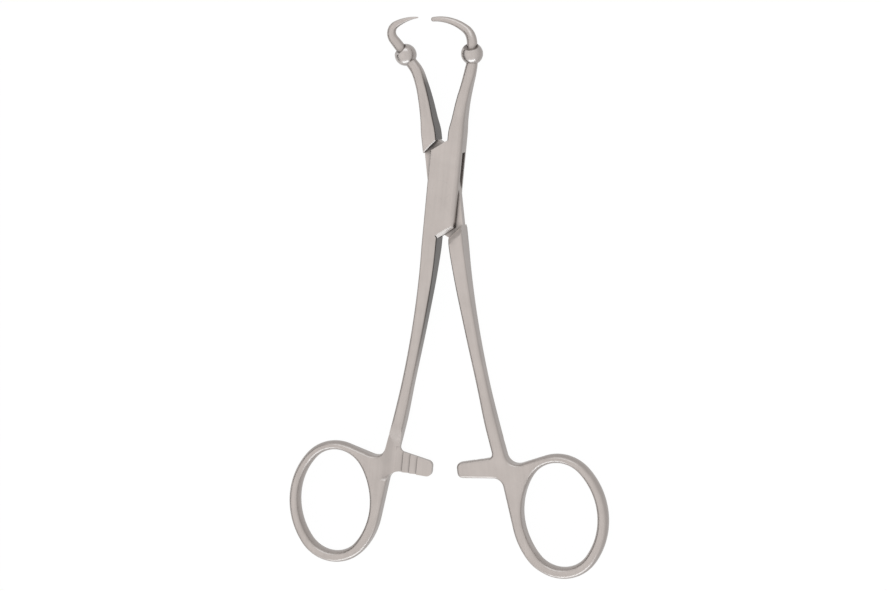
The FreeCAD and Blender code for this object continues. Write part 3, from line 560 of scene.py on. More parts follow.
def ring_plate(name, arm_length, lift=0):
    """Finger ring, web, stem and ratchet arm with rounded edges."""
    plate = sizes_of("plate")
    arm = sizes_of("arm")
    along = Vector((math.sin(plate.foot_lean), math.cos(plate.foot_lean)))
    across = Vector((along.y, -along.x))
    foot = Vector((-plate.foot_offset, -plate.foot_reach))
    foot_left, foot_right = foot - across * plate.foot_width / 2, foot + across * plate.foot_width / 2
    tilt = math.pi / 2 + plate.ring_tilt
    opening = Vector((-plate.ring_offset, -plate.ring_reach))
    centre = opening - turned(tilt) * (plate.bottom_limb - plate.top_limb) / 2
    outside = oval_arcs(centre, tilt, (plate.ring_length + plate.top_limb + plate.bottom_limb) / 2,
                        plate.ring_width / 2 + plate.side_limb)
    inside = oval_arcs(opening, tilt, plate.ring_length / 2, plate.ring_width / 2)

    saddle = Vector((-plate.saddle_offset, -plate.saddle_reach))
    armpit = Vector((-plate.armpit_offset, -arm.bottom_reach))
    elbow = Vector((foot_right.x + (foot_right.y + plate.reach) * -along.x / along.y, -plate.reach))
    tip_top = Vector((arm_length, elbow.y - (arm_length - elbow.x) * math.tan(arm.slope) + lift))
    tip_bottom = Vector((arm_length, armpit.y + lift))
    start, end = touching(outside, saddle, 1), touching(outside, armpit, -1)
    ring_side = oval(outside, start, end)
    corners = [(ring_side[-1], 0), (armpit, plate.armpit_radius), (tip_bottom, arm.tip_radius),
               (tip_top, arm.tip_radius), (elbow, plate.elbow_radius), (foot_right, plate.edge_round),
               (foot_left, plate.edge_round), (saddle, plate.saddle_radius), (ring_side[0], 0)]
    outline = ring_side
    for before, (corner, radius), after in zip(corners, corners[1:], corners[2:]):
        outline = outline + rounded_corner(before[0], corner, after[0], radius)

    shape = bmesh.new()
    front, back = add_wall(shape, outline, plate)
    hole_front, hole_back = add_wall(shape, oval(inside)[::-1], plate)
    add_face(shape, front, hole_front)
    add_face(shape, back, hole_back)
    return new_object(name, shape)


def geometry_tree(name, inputs):
    """A geometry node tree with named inputs. Returns it, their identifiers by name and its two end nodes."""
    tree = bpy.data.node_groups.new(name, "GeometryNodeTree")
    tree.interface.new_socket("Geometry", in_out="INPUT", socket_type="NodeSocketGeometry")
    names = {}
    for key, kind in inputs.items():
        names[key] = tree.interface.new_socket(key, in_out="INPUT", socket_type=kind).identifier
    tree.interface.new_socket("Geometry", in_out="OUTPUT", socket_type="NodeSocketGeometry")
    return tree, names, tree.nodes.new("NodeGroupInput"), tree.nodes.new("NodeGroupOutput")


def finish_tree(tree, geometry, result, material):
    """Ends a tree in real geometry with a material."""
    real = tree.nodes.new("GeometryNodeRealizeInstances")
    paint = tree.nodes.new("GeometryNodeSetMaterial")
    paint.inputs["Material"].default_value = material
    tree.links.new(geometry, real.inputs["Geometry"])
    tree.links.new(real.outputs["Geometry"], paint.inputs["Geometry"])
    tree.links.new(paint.outputs["Geometry"], result.inputs["Geometry"])


def tooth_row(arm, material):
    """The cutter for the ratchet's teeth, one tooth repeated along the arm by a node tree."""
    crest, foot = -arm.clearance, -arm.clearance - arm.tooth_depth
    face = -arm.tooth_start
    near, far = OVERCUT - arm_top(), -arm.bottom_reach - OVERCUT
    back = face - arm.tooth_pitch + INSIDE
    rings = [[(face, y, foot), (face, y, crest + OVERCUT), (back, y, crest + OVERCUT), (back, y, crest)]
             for y in (near, far)]
    cutter = loft("tooth_cutter", rings)

    tree, names, source, result = geometry_tree("Tooth row", {"Teeth": "NodeSocketInt",
                                                              "Pitch": "NodeSocketFloat"})
    add, link = tree.nodes.new, tree.links.new
    offset = add("ShaderNodeCombineXYZ")
    row = add("GeometryNodeMeshLine")
    place = add("GeometryNodeInstanceOnPoints")
    link(source.outputs["Pitch"], offset.inputs["X"])
    link(source.outputs["Teeth"], row.inputs["Count"])
    link(offset.outputs[0], row.inputs["Offset"])
    link(row.outputs["Mesh"], place.inputs["Points"])
    link(source.outputs["Geometry"], place.inputs["Instance"])
    finish_tree(tree, place.outputs["Instances"], result, material)
    modifier = cutter.modifiers.new("teeth", "NODES")
    modifier.node_group = tree
    modifier[names["Teeth"]] = arm.tooth_count
    modifier[names["Pitch"]] = -arm.tooth_pitch
    settle(cutter)
    return cutter


def arm_top():
    """Distance of the arm's upper edge from the pivot."""
    return sizes_of("plate").reach


def mill_cutter(arm):
    """The block that mills the arm's front half away, with soft ramps at its root, above and below it."""
    root, far = -(arm.tooth_start + arm.tooth_count * arm.tooth_pitch), arm.tongue_length + OVERCUT
    top, bottom = -arm.mill_margin - arm_top(), -arm.bottom_reach - arm.mill_margin
    depth = sizes_of("plate").thickness / 2 + arm.clearance
    rings = []
    for step in range(RAMP_STEPS + 1):
        part = step / RAMP_STEPS
        height = depth * part * part * (3 - 2 * part) - arm.clearance
        left, upper = root - arm.root_run * part, top + arm.stem_run * part
        lower = bottom - arm.web_run * part
        corners = ((left, lower), (far, lower), (far, upper), (left, upper))
        rings.append([(*corner, height) for corner in corners])
    rings.append([(x, y, height + OVERCUT) for x, y, height in rings[-1]])
    return loft("mill_cutter", rings)


def bent(station):
    """A station whose direction follows from its neighbours."""
    return (station[0], station[1], None, *station[2:])


def shank_stations(lock):
    """The stations of the shank, from inside the stem up to inside the lock bar."""
    plate, sizes = sizes_of("plate"), sizes_of("limbs")
    lean, depth = plate.foot_lean, sizes.foot_depth
    foot = (-plate.foot_offset, -plate.foot_reach)
    section = (plate.foot_width - INSIDE, plate.thickness - INSIDE, plate.edge_round)
    root = ((lock.bar_width / 2 - lock.crotch) - INSIDE, lock.thickness - INSIDE, lock.edge_round)
    middle = -(lock.bar_width / 2 + lock.crotch) / 2
    free = (sizes.waist, sizes.shank_middle, sizes.shank_upper)
    return [(foot[0] - depth * math.sin(lean), foot[1] - depth * math.cos(lean), lean, *section),
            (*foot, lean, *section),
            *[bent((-row[0], -row[1], *row[2:])) for row in free],
            (middle, -lock.root_reach, 0, *root),
            (middle, -lock.shoulder + OVERCUT, 0, *root)]


def jaw_stations(lock, half):
    """The stations of a jaw, from inside the lock bar up to the neck in the ball stop."""
    jaw, sizes, own = sizes_of("jaw"), sizes_of("limbs"), sizes_of(half)
    ball, lean = Vector((own.ball_offset, own.ball_reach)), own.ball_lean
    direction = Vector((math.sin(lean), math.cos(lean)))
    lower = ball - Vector((math.sin(own.neck_lean), math.cos(own.neck_lean))) * own.neck_below
    round_neck = (2 * jaw.neck_radius, 2 * jaw.neck_radius, NECK_FULLNESS * jaw.neck_radius)
    root = ((lock.bar_width / 2 - lock.crotch) - INSIDE, lock.thickness - INSIDE, lock.edge_round)
    middle = (lock.bar_width / 2 + lock.crotch) / 2
    return [(middle, lock.shoulder - OVERCUT, 0, *root),
            (middle, lock.root_reach, 0, *root),
            *[bent(row) for row in (sizes.jaw_lower, sizes.jaw_middle, sizes.jaw_upper)],
            (*lower, None, 2 * jaw.neck_radius, jaw.neck_thickness, jaw.neck_corner),
            (*(ball - direction * jaw.ball_below), lean, *round_neck),
            (*(ball - direction * (jaw.ball_below - OVERCUT)), lean, *round_neck)]


def band(lock, end, low, high, name):
    """A prism over the slanting band across the bar between two slanting ends."""
    slope = math.tan(lock.slope)
    reach = lock.bar_width / 2 + OVERCUT
    near = end - OVERCUT * slope
    far = end + (lock.bar_width + OVERCUT) * slope
    return prism(name, [(reach, near), (-reach, far), (-reach, -near), (reach, -far)], low, high)


def bar_outline(lock, end, stop):
    """Half the bar's outline above the pivot, with its slanting end."""
    half = lock.bar_width / 2
    rise = end + (half + lock.crotch) * math.tan(lock.slope)
    return [(-half, end), (lock.crotch, rise), (lock.crotch, stop), (half, stop)] if stop > rise else \
        [(-half, end), (lock.crotch, rise), (half, rise)]


def wedge(name, lock, corner, along, out, run, depth, side, ends):
    """The cutter of a bevel along a slanting edge, between two distances from its middle. It meets the face
    at a run from the edge, and the end wall at a depth below the face."""
    face = side * lock.thickness / 2
    deep = side * depth
    reach = BEVEL_OVER * depth / run
    inner = [(out * BEVEL_OVER, face + side * BEVEL_OVER), (out * BEVEL_OVER, face - deep - side * reach),
             (-out * (run + BEVEL_OVER * run / depth), face + side * BEVEL_OVER)]
    rings = []
    for distance in ends:
        middle = corner + along * distance
        rings.append([(*(middle + flat), height) for flat, height in inner])
    return loft(name, rings)


def edge_wedges(lock, end, rising, half_side, run, depth):
    """Front and back bevel cutters on a slanting edge beside the jaw (1) or the shank (-1)."""
    half = lock.bar_width / 2
    centre_x = (half - lock.crotch) / 2
    slope = lock.slope
    reach = (half + lock.crotch) / 2
    if rising:
        middle = Vector((-half + reach, end + reach * math.tan(slope))) * half_side
        along = Vector((math.cos(slope), math.sin(slope)))
        out = Vector((-math.sin(slope), math.cos(slope))) * half_side
    else:
        middle = Vector((half - centre_x, end + centre_x * math.tan(slope))) * half_side
        along = Vector((-math.cos(slope), math.sin(slope)))
        out = Vector((-math.sin(slope), -math.cos(slope))) * half_side
    to_crotch = reach / math.cos(slope) if rising else centre_x / math.cos(slope) + OVERCUT
    ends = sorted((half_side * to_crotch, -half_side * (to_crotch + OVERCUT)))
    return [wedge("bevel_cutter", lock, middle, along, out, run, depth, side, ends) for side in (1, -1)]


def cylinder(name, rings):
    """A turned shape about Z, from pairs of radius and height."""
    return loft(name, [[(*(turned(2 * math.pi * step / TURNED_SIDES) * radius), height)
                        for step in range(TURNED_SIDES)] for radius, height in rings])


def arm_cuts(thing, material):
    """Mills the arm's recess and cuts its teeth."""
    arm = sizes_of("arm")
    return combine(thing, [mill_cutter(arm), tooth_row(arm, material)], "DIFFERENCE")


def box_forging(material):
    """The half with the box: ring plate, shank, slotted box and jaw in one piece."""
    lock = sizes_of("lock")
    arm = sizes_of("arm")
    half, top = lock.bar_width / 2, lock.thickness / 2
    plate = ring_plate("box_half_forging", arm.box_length)
    section = rounded_section(lock.bar_width, lock.thickness, lock.edge_round, lock.fuller_round)
    rings = [[(u, y, v) for u, v in section] for y in (-lock.root_reach, lock.root_reach)]
    bar = loft("bar", rings)
    upper = bar_outline(lock, lock.wall_end, 0)
    far = lock.root_reach + OVERCUT
    corner = upper + [(half + OVERCUT, upper[-1][1]), (half + OVERCUT, far), (-half - OVERCUT, far),
                      (-half - OVERCUT, upper[0][1] - OVERCUT * math.tan(lock.slope))]
    mirrored = [(-x, -y) for x, y in corner]
    ends = [prism("corner", outline, -top - OVERCUT, top + OVERCUT) for outline in (corner, mirrored)]
    combine(bar, ends, "DIFFERENCE")
    jaw = limb("jaw", jaw_stations(lock, "box"), lock.fuller_round, sizes_of("limbs").jaw_upper[1])
    shank = limb("shank", shank_stations(lock))
    combine(plate, [shank], "UNION")
    arm_cuts(plate, material)
    combine(plate, [bar, jaw], "UNION")
    combine(plate, [band(lock, lock.slot_end, -lock.slot / 2, lock.slot / 2, "slot")], "DIFFERENCE")
    combine(plate, edge_wedges(lock, lock.wall_end, True, -1, lock.box_bevel, lock.box_bevel), "DIFFERENCE")
    bore = cylinder("bore", [(lock.sink_radius, -top - INSIDE), (lock.bore_radius, -top + lock.sink_depth),
                             (lock.bore_radius, top - lock.sink_depth), (lock.sink_radius, top + INSIDE)])
    return combine(plate, [bore], "DIFFERENCE")


def tongue_forging(material):
    """The half with the tongue: ring plate, shank, tongue and jaw in one piece."""
    lock = sizes_of("lock")
    arm = sizes_of("arm")
    top = lock.thickness / 2
    plate = ring_plate("tongue_half_forging", arm.tongue_length, arm.tongue_lift)
    upper = bar_outline(lock, lock.tongue_end, lock.root_reach)
    tongue = prism("tongue", upper + [(-x, -y) for x, y in upper], -lock.tongue / 2, lock.tongue / 2)
    jaw = limb("jaw", jaw_stations(lock, "tongue"))
    shank = limb("shank", shank_stations(lock))
    combine(plate, [shank], "UNION")
    arm_cuts(plate, material)
    combine(plate, [jaw], "UNION")
    combine(plate, [band(lock, lock.shoulder, -top - OVERCUT, top + OVERCUT, "lock_space")], "DIFFERENCE")
    combine(plate, edge_wedges(lock, lock.shoulder, False, 1, lock.jaw_bevel, lock.jaw_bevel), "DIFFERENCE")
    combine(plate, edge_wedges(lock, lock.shoulder, False, -1, lock.ramp_run, lock.ramp_depth), "DIFFERENCE")
    combine(plate, [tongue], "UNION")
    bore = cylinder("bore", [(lock.tongue_bore, -top), (lock.tongue_bore, top)])
    return combine(plate, [bore], "DIFFERENCE")


def tine_points(half):
    """Points and radii along a tine, from inside its ball stop to its rounded point."""
    jaw, own = sizes_of("jaw"), sizes_of(half)
    heading = math.pi / 2 - own.ball_lean
    place = Vector((own.ball_offset, own.ball_reach)) + turned(heading) * (jaw.ball_above - jaw.root_depth)
    straight = own.rise - jaw.ball_above
    elbow_length = own.elbow_radius * own.elbow_turn
    bend_end = straight + elbow_length
    whole = bend_end + own.out_length
    step = (whole + jaw.root_depth) / TINE_STEPS
    points = []
    for number in range(TINE_STEPS + 1):
        at = number * step - jaw.root_depth
        part = min(max(at / bend_end, 0), 1)
        out = max(at - bend_end, 0) / own.out_length
        radius = jaw.root_radius + (own.knee_radius - jaw.root_radius) * part ** 2
        radius += (own.tip_radius - own.knee_radius) * out
        to_end = max(whole - at, 0) / own.tip_radius
        if to_end < 1:
            radius *= math.sqrt(max(1 - (1 - to_end) ** 2, BLUNT))
        points.append((place.x, place.y, -jaw.tine_set * part * part * (3 - 2 * part), radius))
        bend = min(max(at + step / 2 - straight, 0), elbow_length) / elbow_length
        beyond = max(at + step / 2 - bend_end, 0) / own.out_length
        place = place + turned(heading + own.elbow_turn * bend + own.out_turn * beyond) * step
    return points


def tine(name, points, material):
    """A tine as a curve with a radius at each point, skinned by a node tree."""
    curve = bpy.data.curves.new(name, "CURVE")
    curve.dimensions = "3D"
    spline = curve.splines.new("POLY")
    spline.points.add(len(points) - 1)
    for target, (x, y, z, radius) in zip(spline.points, points):
        target.co = (x, y, z, 1)
        target.radius = radius
    path = bpy.data.objects.new(name + "_path", curve)
    bpy.context.scene.collection.objects.link(path)

    tree, names, source, result = geometry_tree("Tapered rod", {"Sides": "NodeSocketInt"})
    add, link = tree.nodes.new, tree.links.new
    circle = add("GeometryNodeCurvePrimitiveCircle")
    skin = add("GeometryNodeCurveToMesh")
    shade = add("GeometryNodeSetShadeSmooth")
    link(source.outputs["Sides"], circle.inputs["Resolution"])
    link(source.outputs["Geometry"], skin.inputs["Curve"])
    link(circle.outputs["Curve"], skin.inputs["Profile Curve"])
    if "Scale" in skin.inputs:
        link(add("GeometryNodeInputRadius").outputs["Radius"], skin.inputs["Scale"])
    skin.inputs["Fill Caps"].default_value = True
    link(skin.outputs["Mesh"], shade.inputs["Geometry"])
    finish_tree(tree, shade.outputs["Geometry"], result, material)
    modifier = path.modifiers.new("rod", "NODES")
    modifier.node_group = tree
    modifier[names["Sides"]] = TINE_SIDES
    graph = bpy.context.evaluated_depsgraph_get()
    graph.update()
    mesh = bpy.data.meshes.new_from_object(path.evaluated_get(graph))
    bpy.data.objects.remove(path)
    shape = bmesh.new()
    shape.from_mesh(mesh)
    bpy.data.meshes.remove(mesh)
    return new_object(name, shape)


def ball_stop(name, half):
    """A turned bead with a flat foot, a rounded rim and a dished top."""
    jaw, own = sizes_of("jaw"), sizes_of(half)
    radius, rim = jaw.ball_radius, jaw.rim_round
    foot_angle = -math.asin(jaw.ball_below / radius)
    rim_angle = math.asin((jaw.ball_above - rim) / (radius - rim))
    profile = [Vector((0, -jaw.ball_below))]
    profile += arc(Vector((0, 0)), radius, foot_angle, rim_angle)
    centre = turned(rim_angle) * (radius - rim)
    dish = math.atan2(jaw.ball_dish, math.sqrt(radius ** 2 - jaw.ball_above ** 2))
    profile += arc(centre, rim, rim_angle, math.pi / 2 + dish)[1:]
    profile.append(Vector((0, jaw.ball_above - jaw.ball_dish)))
    shape = bmesh.new()
    rows = []
    for step in range(TURNED_SIDES):
        turn = 2 * math.pi * step / TURNED_SIDES
        rows.append([shape.verts.new((point.x * math.cos(turn), point.y, point.x * math.sin(turn)))
                     for point in profile])
    for row, after in zip(rows, rows[1:] + rows[:1]):
        for index in range(len(profile) - 1):
            shape.faces.new((row[index], row[index + 1], after[index + 1], after[index]))
    bead = new_object(name, shape)
    place = Matrix.Translation((own.ball_offset, own.ball_reach, 0)) @ Matrix.Rotation(-own.ball_lean, 4, "Z")
    front = 1 if half == "box" else -1
    bead.data.transform(place @ Matrix.Rotation(front * jaw.ball_tilt, 4, "X"))
    return bead


# the finishes

def node_group(name, inputs, outputs):
    """An empty shader node group with named inputs and outputs, and its two end nodes."""
    tree = bpy.data.node_groups.new(name, "ShaderNodeTree")
    for socket, default in inputs.items():
        kind = "NodeSocketVector" if socket == "Place" else "NodeSocketFloat"
        made = tree.interface.new_socket(socket, in_out="INPUT", socket_type=kind)
        if default is not None:
            made.default_value = default
    for socket in outputs:
        tree.interface.new_socket(socket, in_out="OUTPUT", socket_type="NodeSocketFloat")
    return tree, tree.nodes.new("NodeGroupInput"), tree.nodes.new("NodeGroupOutput")


def math_node(tree, operation, first, second, clamp=False):
    """The result of a sum on two numbers or outputs."""
    node = tree.nodes.new("ShaderNodeMath")
    node.operation = operation
    node.use_clamp = clamp
    for socket, item in zip(node.inputs, (first, second)):
        if isinstance(item, (int, float)):
            socket.default_value = item
        elif item is not None:
            tree.links.new(item, socket)
    return node.outputs[0]


def noise(tree, place, scale, detail, stretch=None):
    """Noise over a place, which can be stretched."""
    if stretch:
        mapping = tree.nodes.new("ShaderNodeMapping")
        mapping.inputs["Scale"].default_value = stretch
        tree.links.new(place, mapping.inputs["Vector"])
        place = mapping.outputs["Vector"]
    node = tree.nodes.new("ShaderNodeTexNoise")
    node.inputs["Detail"].default_value = detail
    node.inputs["Roughness"].default_value = 0.6
    tree.links.new(place, node.inputs["Vector"])
    if isinstance(scale, (int, float)):
        node.inputs["Scale"].default_value = scale
    else:
        tree.links.new(scale, node.inputs["Scale"])
    return node.outputs["Fac"]


def blend(tree, first, second, part):
    """A part of one value and the rest of another."""
    return math_node(tree, "ADD", math_node(tree, "MULTIPLY", first, part),
                     math_node(tree, "MULTIPLY", second, 1 - part))


def satin_grain():
    """Fine lines of the belt along Y and the even dimples of the blasting."""
    tree, source, result = node_group("Satin grain", {"Place": None, "Lines": 7000.0, "Dimples": 9000.0},
                                      ("Height", "Lines"))
    place = source.outputs["Place"]
    lines = noise(tree, place, source.outputs["Lines"], detail=3, stretch=(1, 0.012, 1))
    dimples = noise(tree, place, source.outputs["Dimples"], detail=2)
    tree.links.new(blend(tree, lines, dimples, part=0.65), result.inputs["Height"])
    tree.links.new(lines, result.inputs["Lines"])
    return tree


def tone_drift():
    """Slow clouds and faint long streaks of tone, about 1."""
    inputs = {"Place": None, "Clouds": 160.0, "Streaks": 1400.0, "Contrast": 4.0, "Amount": 0.1}
    tree, source, result = node_group("Tone drift", inputs, ("Tone",))
    place = source.outputs["Place"]
    clouds = noise(tree, place, source.outputs["Clouds"], detail=4)
    streaks = noise(tree, place, source.outputs["Streaks"], detail=3, stretch=(1, 0.035, 1))
    centred = math_node(tree, "SUBTRACT", blend(tree, clouds, streaks, part=0.6), 0.5)
    scaled = math_node(tree, "MULTIPLY", centred, source.outputs["Amount"])
    scaled = math_node(tree, "MULTIPLY", scaled, source.outputs["Contrast"])
    tree.links.new(math_node(tree, "ADD", scaled, 1.0), result.inputs["Tone"])
    return tree


def edge_wear_and_sheen():
    """A mask of the edges that handling polishes, broken up a little; it lowers their roughness and paints a
    highlight along them. It leaves out the rivet, which is ground flush with the box."""
    inputs = {"Place": None, "Width": 0.0001, "Rivet": 0.0024, "Sharpness": 6.0, "Patches": 900.0,
              "Least": 0.25}
    tree, source, result = node_group("Edge wear", inputs, ("Mask",))
    bevel = tree.nodes.new("ShaderNodeBevel")
    bevel.samples = 6
    tree.links.new(source.outputs["Width"], bevel.inputs["Radius"])
    surface = tree.nodes.new("ShaderNodeNewGeometry")
    facing = tree.nodes.new("ShaderNodeVectorMath")
    facing.operation = "DOT_PRODUCT"
    tree.links.new(bevel.outputs["Normal"], facing.inputs[0])
    tree.links.new(surface.outputs["Normal"], facing.inputs[1])
    turned_away = math_node(tree, "SUBTRACT", 1.0, facing.outputs["Value"])
    edge = math_node(tree, "MULTIPLY", turned_away, source.outputs["Sharpness"], True)
    patches = noise(tree, source.outputs["Place"], source.outputs["Patches"], detail=3)
    broken = math_node(tree, "ADD", patches, source.outputs["Least"], True)
    parts = tree.nodes.new("ShaderNodeSeparateXYZ")
    tree.links.new(source.outputs["Place"], parts.inputs[0])
    flat = tree.nodes.new("ShaderNodeCombineXYZ")
    tree.links.new(parts.outputs["X"], flat.inputs["X"])
    tree.links.new(parts.outputs["Y"], flat.inputs["Y"])
    distance = tree.nodes.new("ShaderNodeVectorMath")
    distance.operation = "LENGTH"
    tree.links.new(flat.outputs[0], distance.inputs[0])
    clear = math_node(tree, "GREATER_THAN", distance.outputs["Value"], source.outputs["Rivet"])
    mask = math_node(tree, "MULTIPLY", math_node(tree, "MULTIPLY", edge, broken), clear)
    tree.links.new(mask, result.inputs["Mask"])
    return tree


def soft_range(tree, item, zero_at, one_at):
    """A smooth step from 0 at one value to 1 at another."""
    soft = tree.nodes.new("ShaderNodeMapRange")
    soft.interpolation_type = "SMOOTHSTEP"
    tree.links.new(item, soft.inputs["Value"])
    for socket, bound in (("From Min", zero_at), ("From Max", one_at)):
        if isinstance(bound, float):
            soft.inputs[socket].default_value = bound
        else:
            tree.links.new(bound, soft.inputs[socket])
    return soft.outputs["Result"]


def cavity():
    """A mask of grooves and seams, where the light does not reach the metal."""
    tree, source, result = node_group("Cavity", {"Reach": 0.0008}, ("Mask",))
    free = tree.nodes.new("ShaderNodeAmbientOcclusion")
    free.samples = 12
    tree.links.new(source.outputs["Reach"], free.inputs["Distance"])
    tree.links.new(soft_range(tree, free.outputs["AO"], zero_at=0.95, one_at=0.25), result.inputs["Mask"])
    return tree


def surface_normal(tree):
    """The node that holds the three parts of the surface's normal."""
    surface = tree.nodes.new("ShaderNodeNewGeometry")
    normal = tree.nodes.new("ShaderNodeSeparateXYZ")
    tree.links.new(surface.outputs["Normal"], normal.inputs[0])
    return normal


def side_shade():
    """Painted shade: a mask of the faces that turn away from front and back, whose colour it darkens."""
    tree, source, result = node_group("Side shade", {}, ("Mask",))
    normal = surface_normal(tree)
    flat = math_node(tree, "ABSOLUTE", normal.outputs["Z"], None)
    tree.links.new(soft_range(tree, flat, zero_at=0.93, one_at=0.35), result.inputs["Mask"])
    return tree


def crotch_shade():
    """Painted shade: a mask of the side faces in the crotch of a jaw (End 1) or a shank (End -1). It fades
    along it.
    """
    inputs = {"Place": None, "End": 1.0, "Start": 0.009, "Fade": 0.024, "Fade end": 0.05}
    tree, source, result = node_group("Crotch shade", inputs, ("Mask",))
    normal = surface_normal(tree)
    place = tree.nodes.new("ShaderNodeSeparateXYZ")
    tree.links.new(source.outputs["Place"], place.inputs[0])
    facing = soft_range(tree, normal.outputs["X"], zero_at=0.45, one_at=0.93)
    along = math_node(tree, "MULTIPLY", place.outputs["Y"], source.outputs["End"])
    begun = math_node(tree, "GREATER_THAN", along, source.outputs["Start"])
    faded = soft_range(tree, along, source.outputs["Fade"], source.outputs["Fade end"])
    left = math_node(tree, "SUBTRACT", 1.0, faded)
    mask = math_node(tree, "MULTIPLY", math_node(tree, "MULTIPLY", facing, begun), left)
    tree.links.new(mask, result.inputs["Mask"])
    return tree


def new_material(name):
    """A material with nodes, and its node tree."""
    material = bpy.data.materials.new(name)
    material.use_nodes = True
    return material, material.node_tree


def satin_steel(name, steel, roughness, lean, groups, crotch=None):
    """Satin stainless steel whose grain runs along a half that leans by an angle. The crotch holds the end of
    the instrument whose side faces get painted shade, and the distance from the pivot where it has faded."""
    look = bpy.context.scene.forceps_finish
    material, tree = new_material(name)
    add, link = tree.nodes.new, tree.links.new
    shader = tree.nodes["Principled BSDF"]
    shader.inputs["Metallic"].default_value = 1.0

    place = add("ShaderNodeTexCoord").outputs["Object"]
    mapping = add("ShaderNodeMapping")
    mapping.inputs["Rotation"].default_value = (0, 0, -lean)
    link(place, mapping.inputs["Vector"])
    place = mapping.outputs["Vector"]

    def group(tree_name):
        """A shader group placed in this material."""
        node = add("ShaderNodeGroup")
        node.node_tree = groups[tree_name]
        if "Place" in node.inputs:
            link(place, node.inputs["Place"])
        return node

    def shaded(tone, mask, amount):
        """The tone where a mask darkens it by an amount, or brightens it where the amount is negative."""
        left = math_node(tree, "SUBTRACT", 1.0, math_node(tree, "MULTIPLY", mask, amount))
        return math_node(tree, "MULTIPLY", tone, left)

    grain, drift, wear_and_sheen = group("grain"), group("drift"), group("wear_and_sheen")
    drift.inputs["Amount"].default_value = look.drift
    wear_and_sheen.inputs["Width"].default_value = look.edge_radius

    base = add("ShaderNodeMix")
    base.data_type = "RGBA"
    base.blend_type = "MULTIPLY"
    base.inputs["Factor"].default_value = 1.0
    base.inputs["A"].default_value = (*steel, 1)
    # painted shade on the side faces
    tone = shaded(drift.outputs["Tone"], group("sides").outputs["Mask"], look.side)
    # painted shade in grooves and seams
    hollow = group("cavity")
    hollow.inputs["Reach"].default_value = look.cavity_reach
    tone = shaded(tone, hollow.outputs["Mask"], look.cavity)
    # painted shade on the side faces in the crotch
    if crotch:
        side = group("crotch")
        values = (crotch[0], look.crotch_start, look.crotch_fade, crotch[1])
        for socket, number in zip(("End", "Start", "Fade", "Fade end"), values):
            side.inputs[socket].default_value = number
        tone = shaded(tone, side.outputs["Mask"], look.crotch)
    # painted highlight along the worn edges
    tone = shaded(tone, wear_and_sheen.outputs["Mask"], -look.wear_and_sheen)
    grey = add("ShaderNodeCombineColor")
    for socket in grey.inputs:
        link(tone, socket)
    link(grey.outputs["Color"], base.inputs["B"])
    link(base.outputs["Result"], shader.inputs["Base Color"])

    centred = math_node(tree, "SUBTRACT", grain.outputs["Lines"], 0.5)
    spread = math_node(tree, "MULTIPLY", centred, look.grain_spread)
    rough = math_node(tree, "ADD", spread, roughness)
    polish = math_node(tree, "MULTIPLY", wear_and_sheen.outputs["Mask"], look.worn - roughness)
    link(math_node(tree, "ADD", rough, polish, True), shader.inputs["Roughness"])
    bump = add("ShaderNodeBump")
    bump.inputs["Strength"].default_value = look.grain
    bump.inputs["Distance"].default_value = look.grain_depth
    link(grain.outputs["Height"], bump.inputs["Height"])
    link(bump.outputs["Normal"], shader.inputs["Normal"])
    return material


def steel_finishes():
    """The materials of the two halves and of the small parts, made once."""
    if "Satin steel, box half" not in bpy.data.materials:
        groups = {"grain": satin_grain(), "drift": tone_drift(), "wear_and_sheen": edge_wear_and_sheen(), "sides": side_shade(),
                  "cavity": cavity(), "crotch": crotch_shade()}
        look = bpy.context.scene.forceps_finish
        lean = bpy.context.scene.forceps_lock.rest_angle
        satin_steel("Satin steel, box half", look.steel, look.roughness, -lean, groups, (-1, look.shank_fade))
        satin_steel("Satin steel, tongue half", look.steel, look.roughness, lean, groups, (1, look.jaw_fade))
        satin_steel("Fine satin steel, small parts", look.bead, look.bead_roughness, 0, groups)
    return bpy.data.materials


# the operators, one for each piece or group of like pieces and one for the stage

class FORCEPS_OT_box_half(bpy.types.Operator):
    """Makes the half with the box, which carries the rivet"""
    bl_idname = "forceps.box_half"
    bl_label = "Box half"

    def execute(self, context):
        steel = steel_finishes()["Satin steel, box half"]
        finish_piece(box_forging(steel), "box", steel, ["box_half"])
        return {"FINISHED"}


class FORCEPS_OT_tongue_half(bpy.types.Operator):
    """Makes the half whose tongue runs through the box"""
    bl_idname = "forceps.tongue_half"
    bl_label = "Tongue half"

    def execute(self, context):
        steel = steel_finishes()["Satin steel, tongue half"]
        finish_piece(tongue_forging(steel), "tongue", steel, ["tongue_half"])
        return {"FINISHED"}


class FORCEPS_OT_tines(bpy.types.Operator):
    """Makes the two curved tines above the ball stops"""
    bl_idname = "forceps.tines"
    bl_label = "Tines"

    def execute(self, context):
        for half in ("box", "tongue"):
            steel = steel_finishes()["Satin steel, %s half" % half]
            rod = tine(half + "_tine", tine_points(half), steel)
            finish_piece(rod, half, steel)
        return {"FINISHED"}


class FORCEPS_OT_ball_stops(bpy.types.Operator):
    """Makes the two ball stops"""
    bl_idname = "forceps.ball_stops"
    bl_label = "Ball stops"

    def execute(self, context):
        steel = steel_finishes()["Fine satin steel, small parts"]
        for half in ("box", "tongue"):
            bead = ball_stop(half + "_ball_stop", half)
            finish_piece(bead, half, steel, ["ball_stop_" + half])
        return {"FINISHED"}


class FORCEPS_OT_pivot_rivet(bpy.types.Operator):
    """Gives the flush rivet of the frame the finish of the box around it"""
    bl_idname = "forceps.pivot_rivet"
    bl_label = "Pivot rivet"

    def execute(self, context):
        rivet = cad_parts["pivot_rivet"]
        rivet.data.materials.clear()
        rivet.data.materials.append(steel_finishes()["Satin steel, box half"])
        return {"FINISHED"}


def seen_as_background(tree):
    """A value of 1 for the rays that should find the plain background."""
    rays = tree.nodes.new("ShaderNodeLightPath")
    seen = math_node(tree, "MAXIMUM", rays.outputs["Is Glossy Ray"], rays.outputs["Is Transmission Ray"])
    return math_node(tree, "MAXIMUM", rays.outputs["Is Camera Ray"], seen)


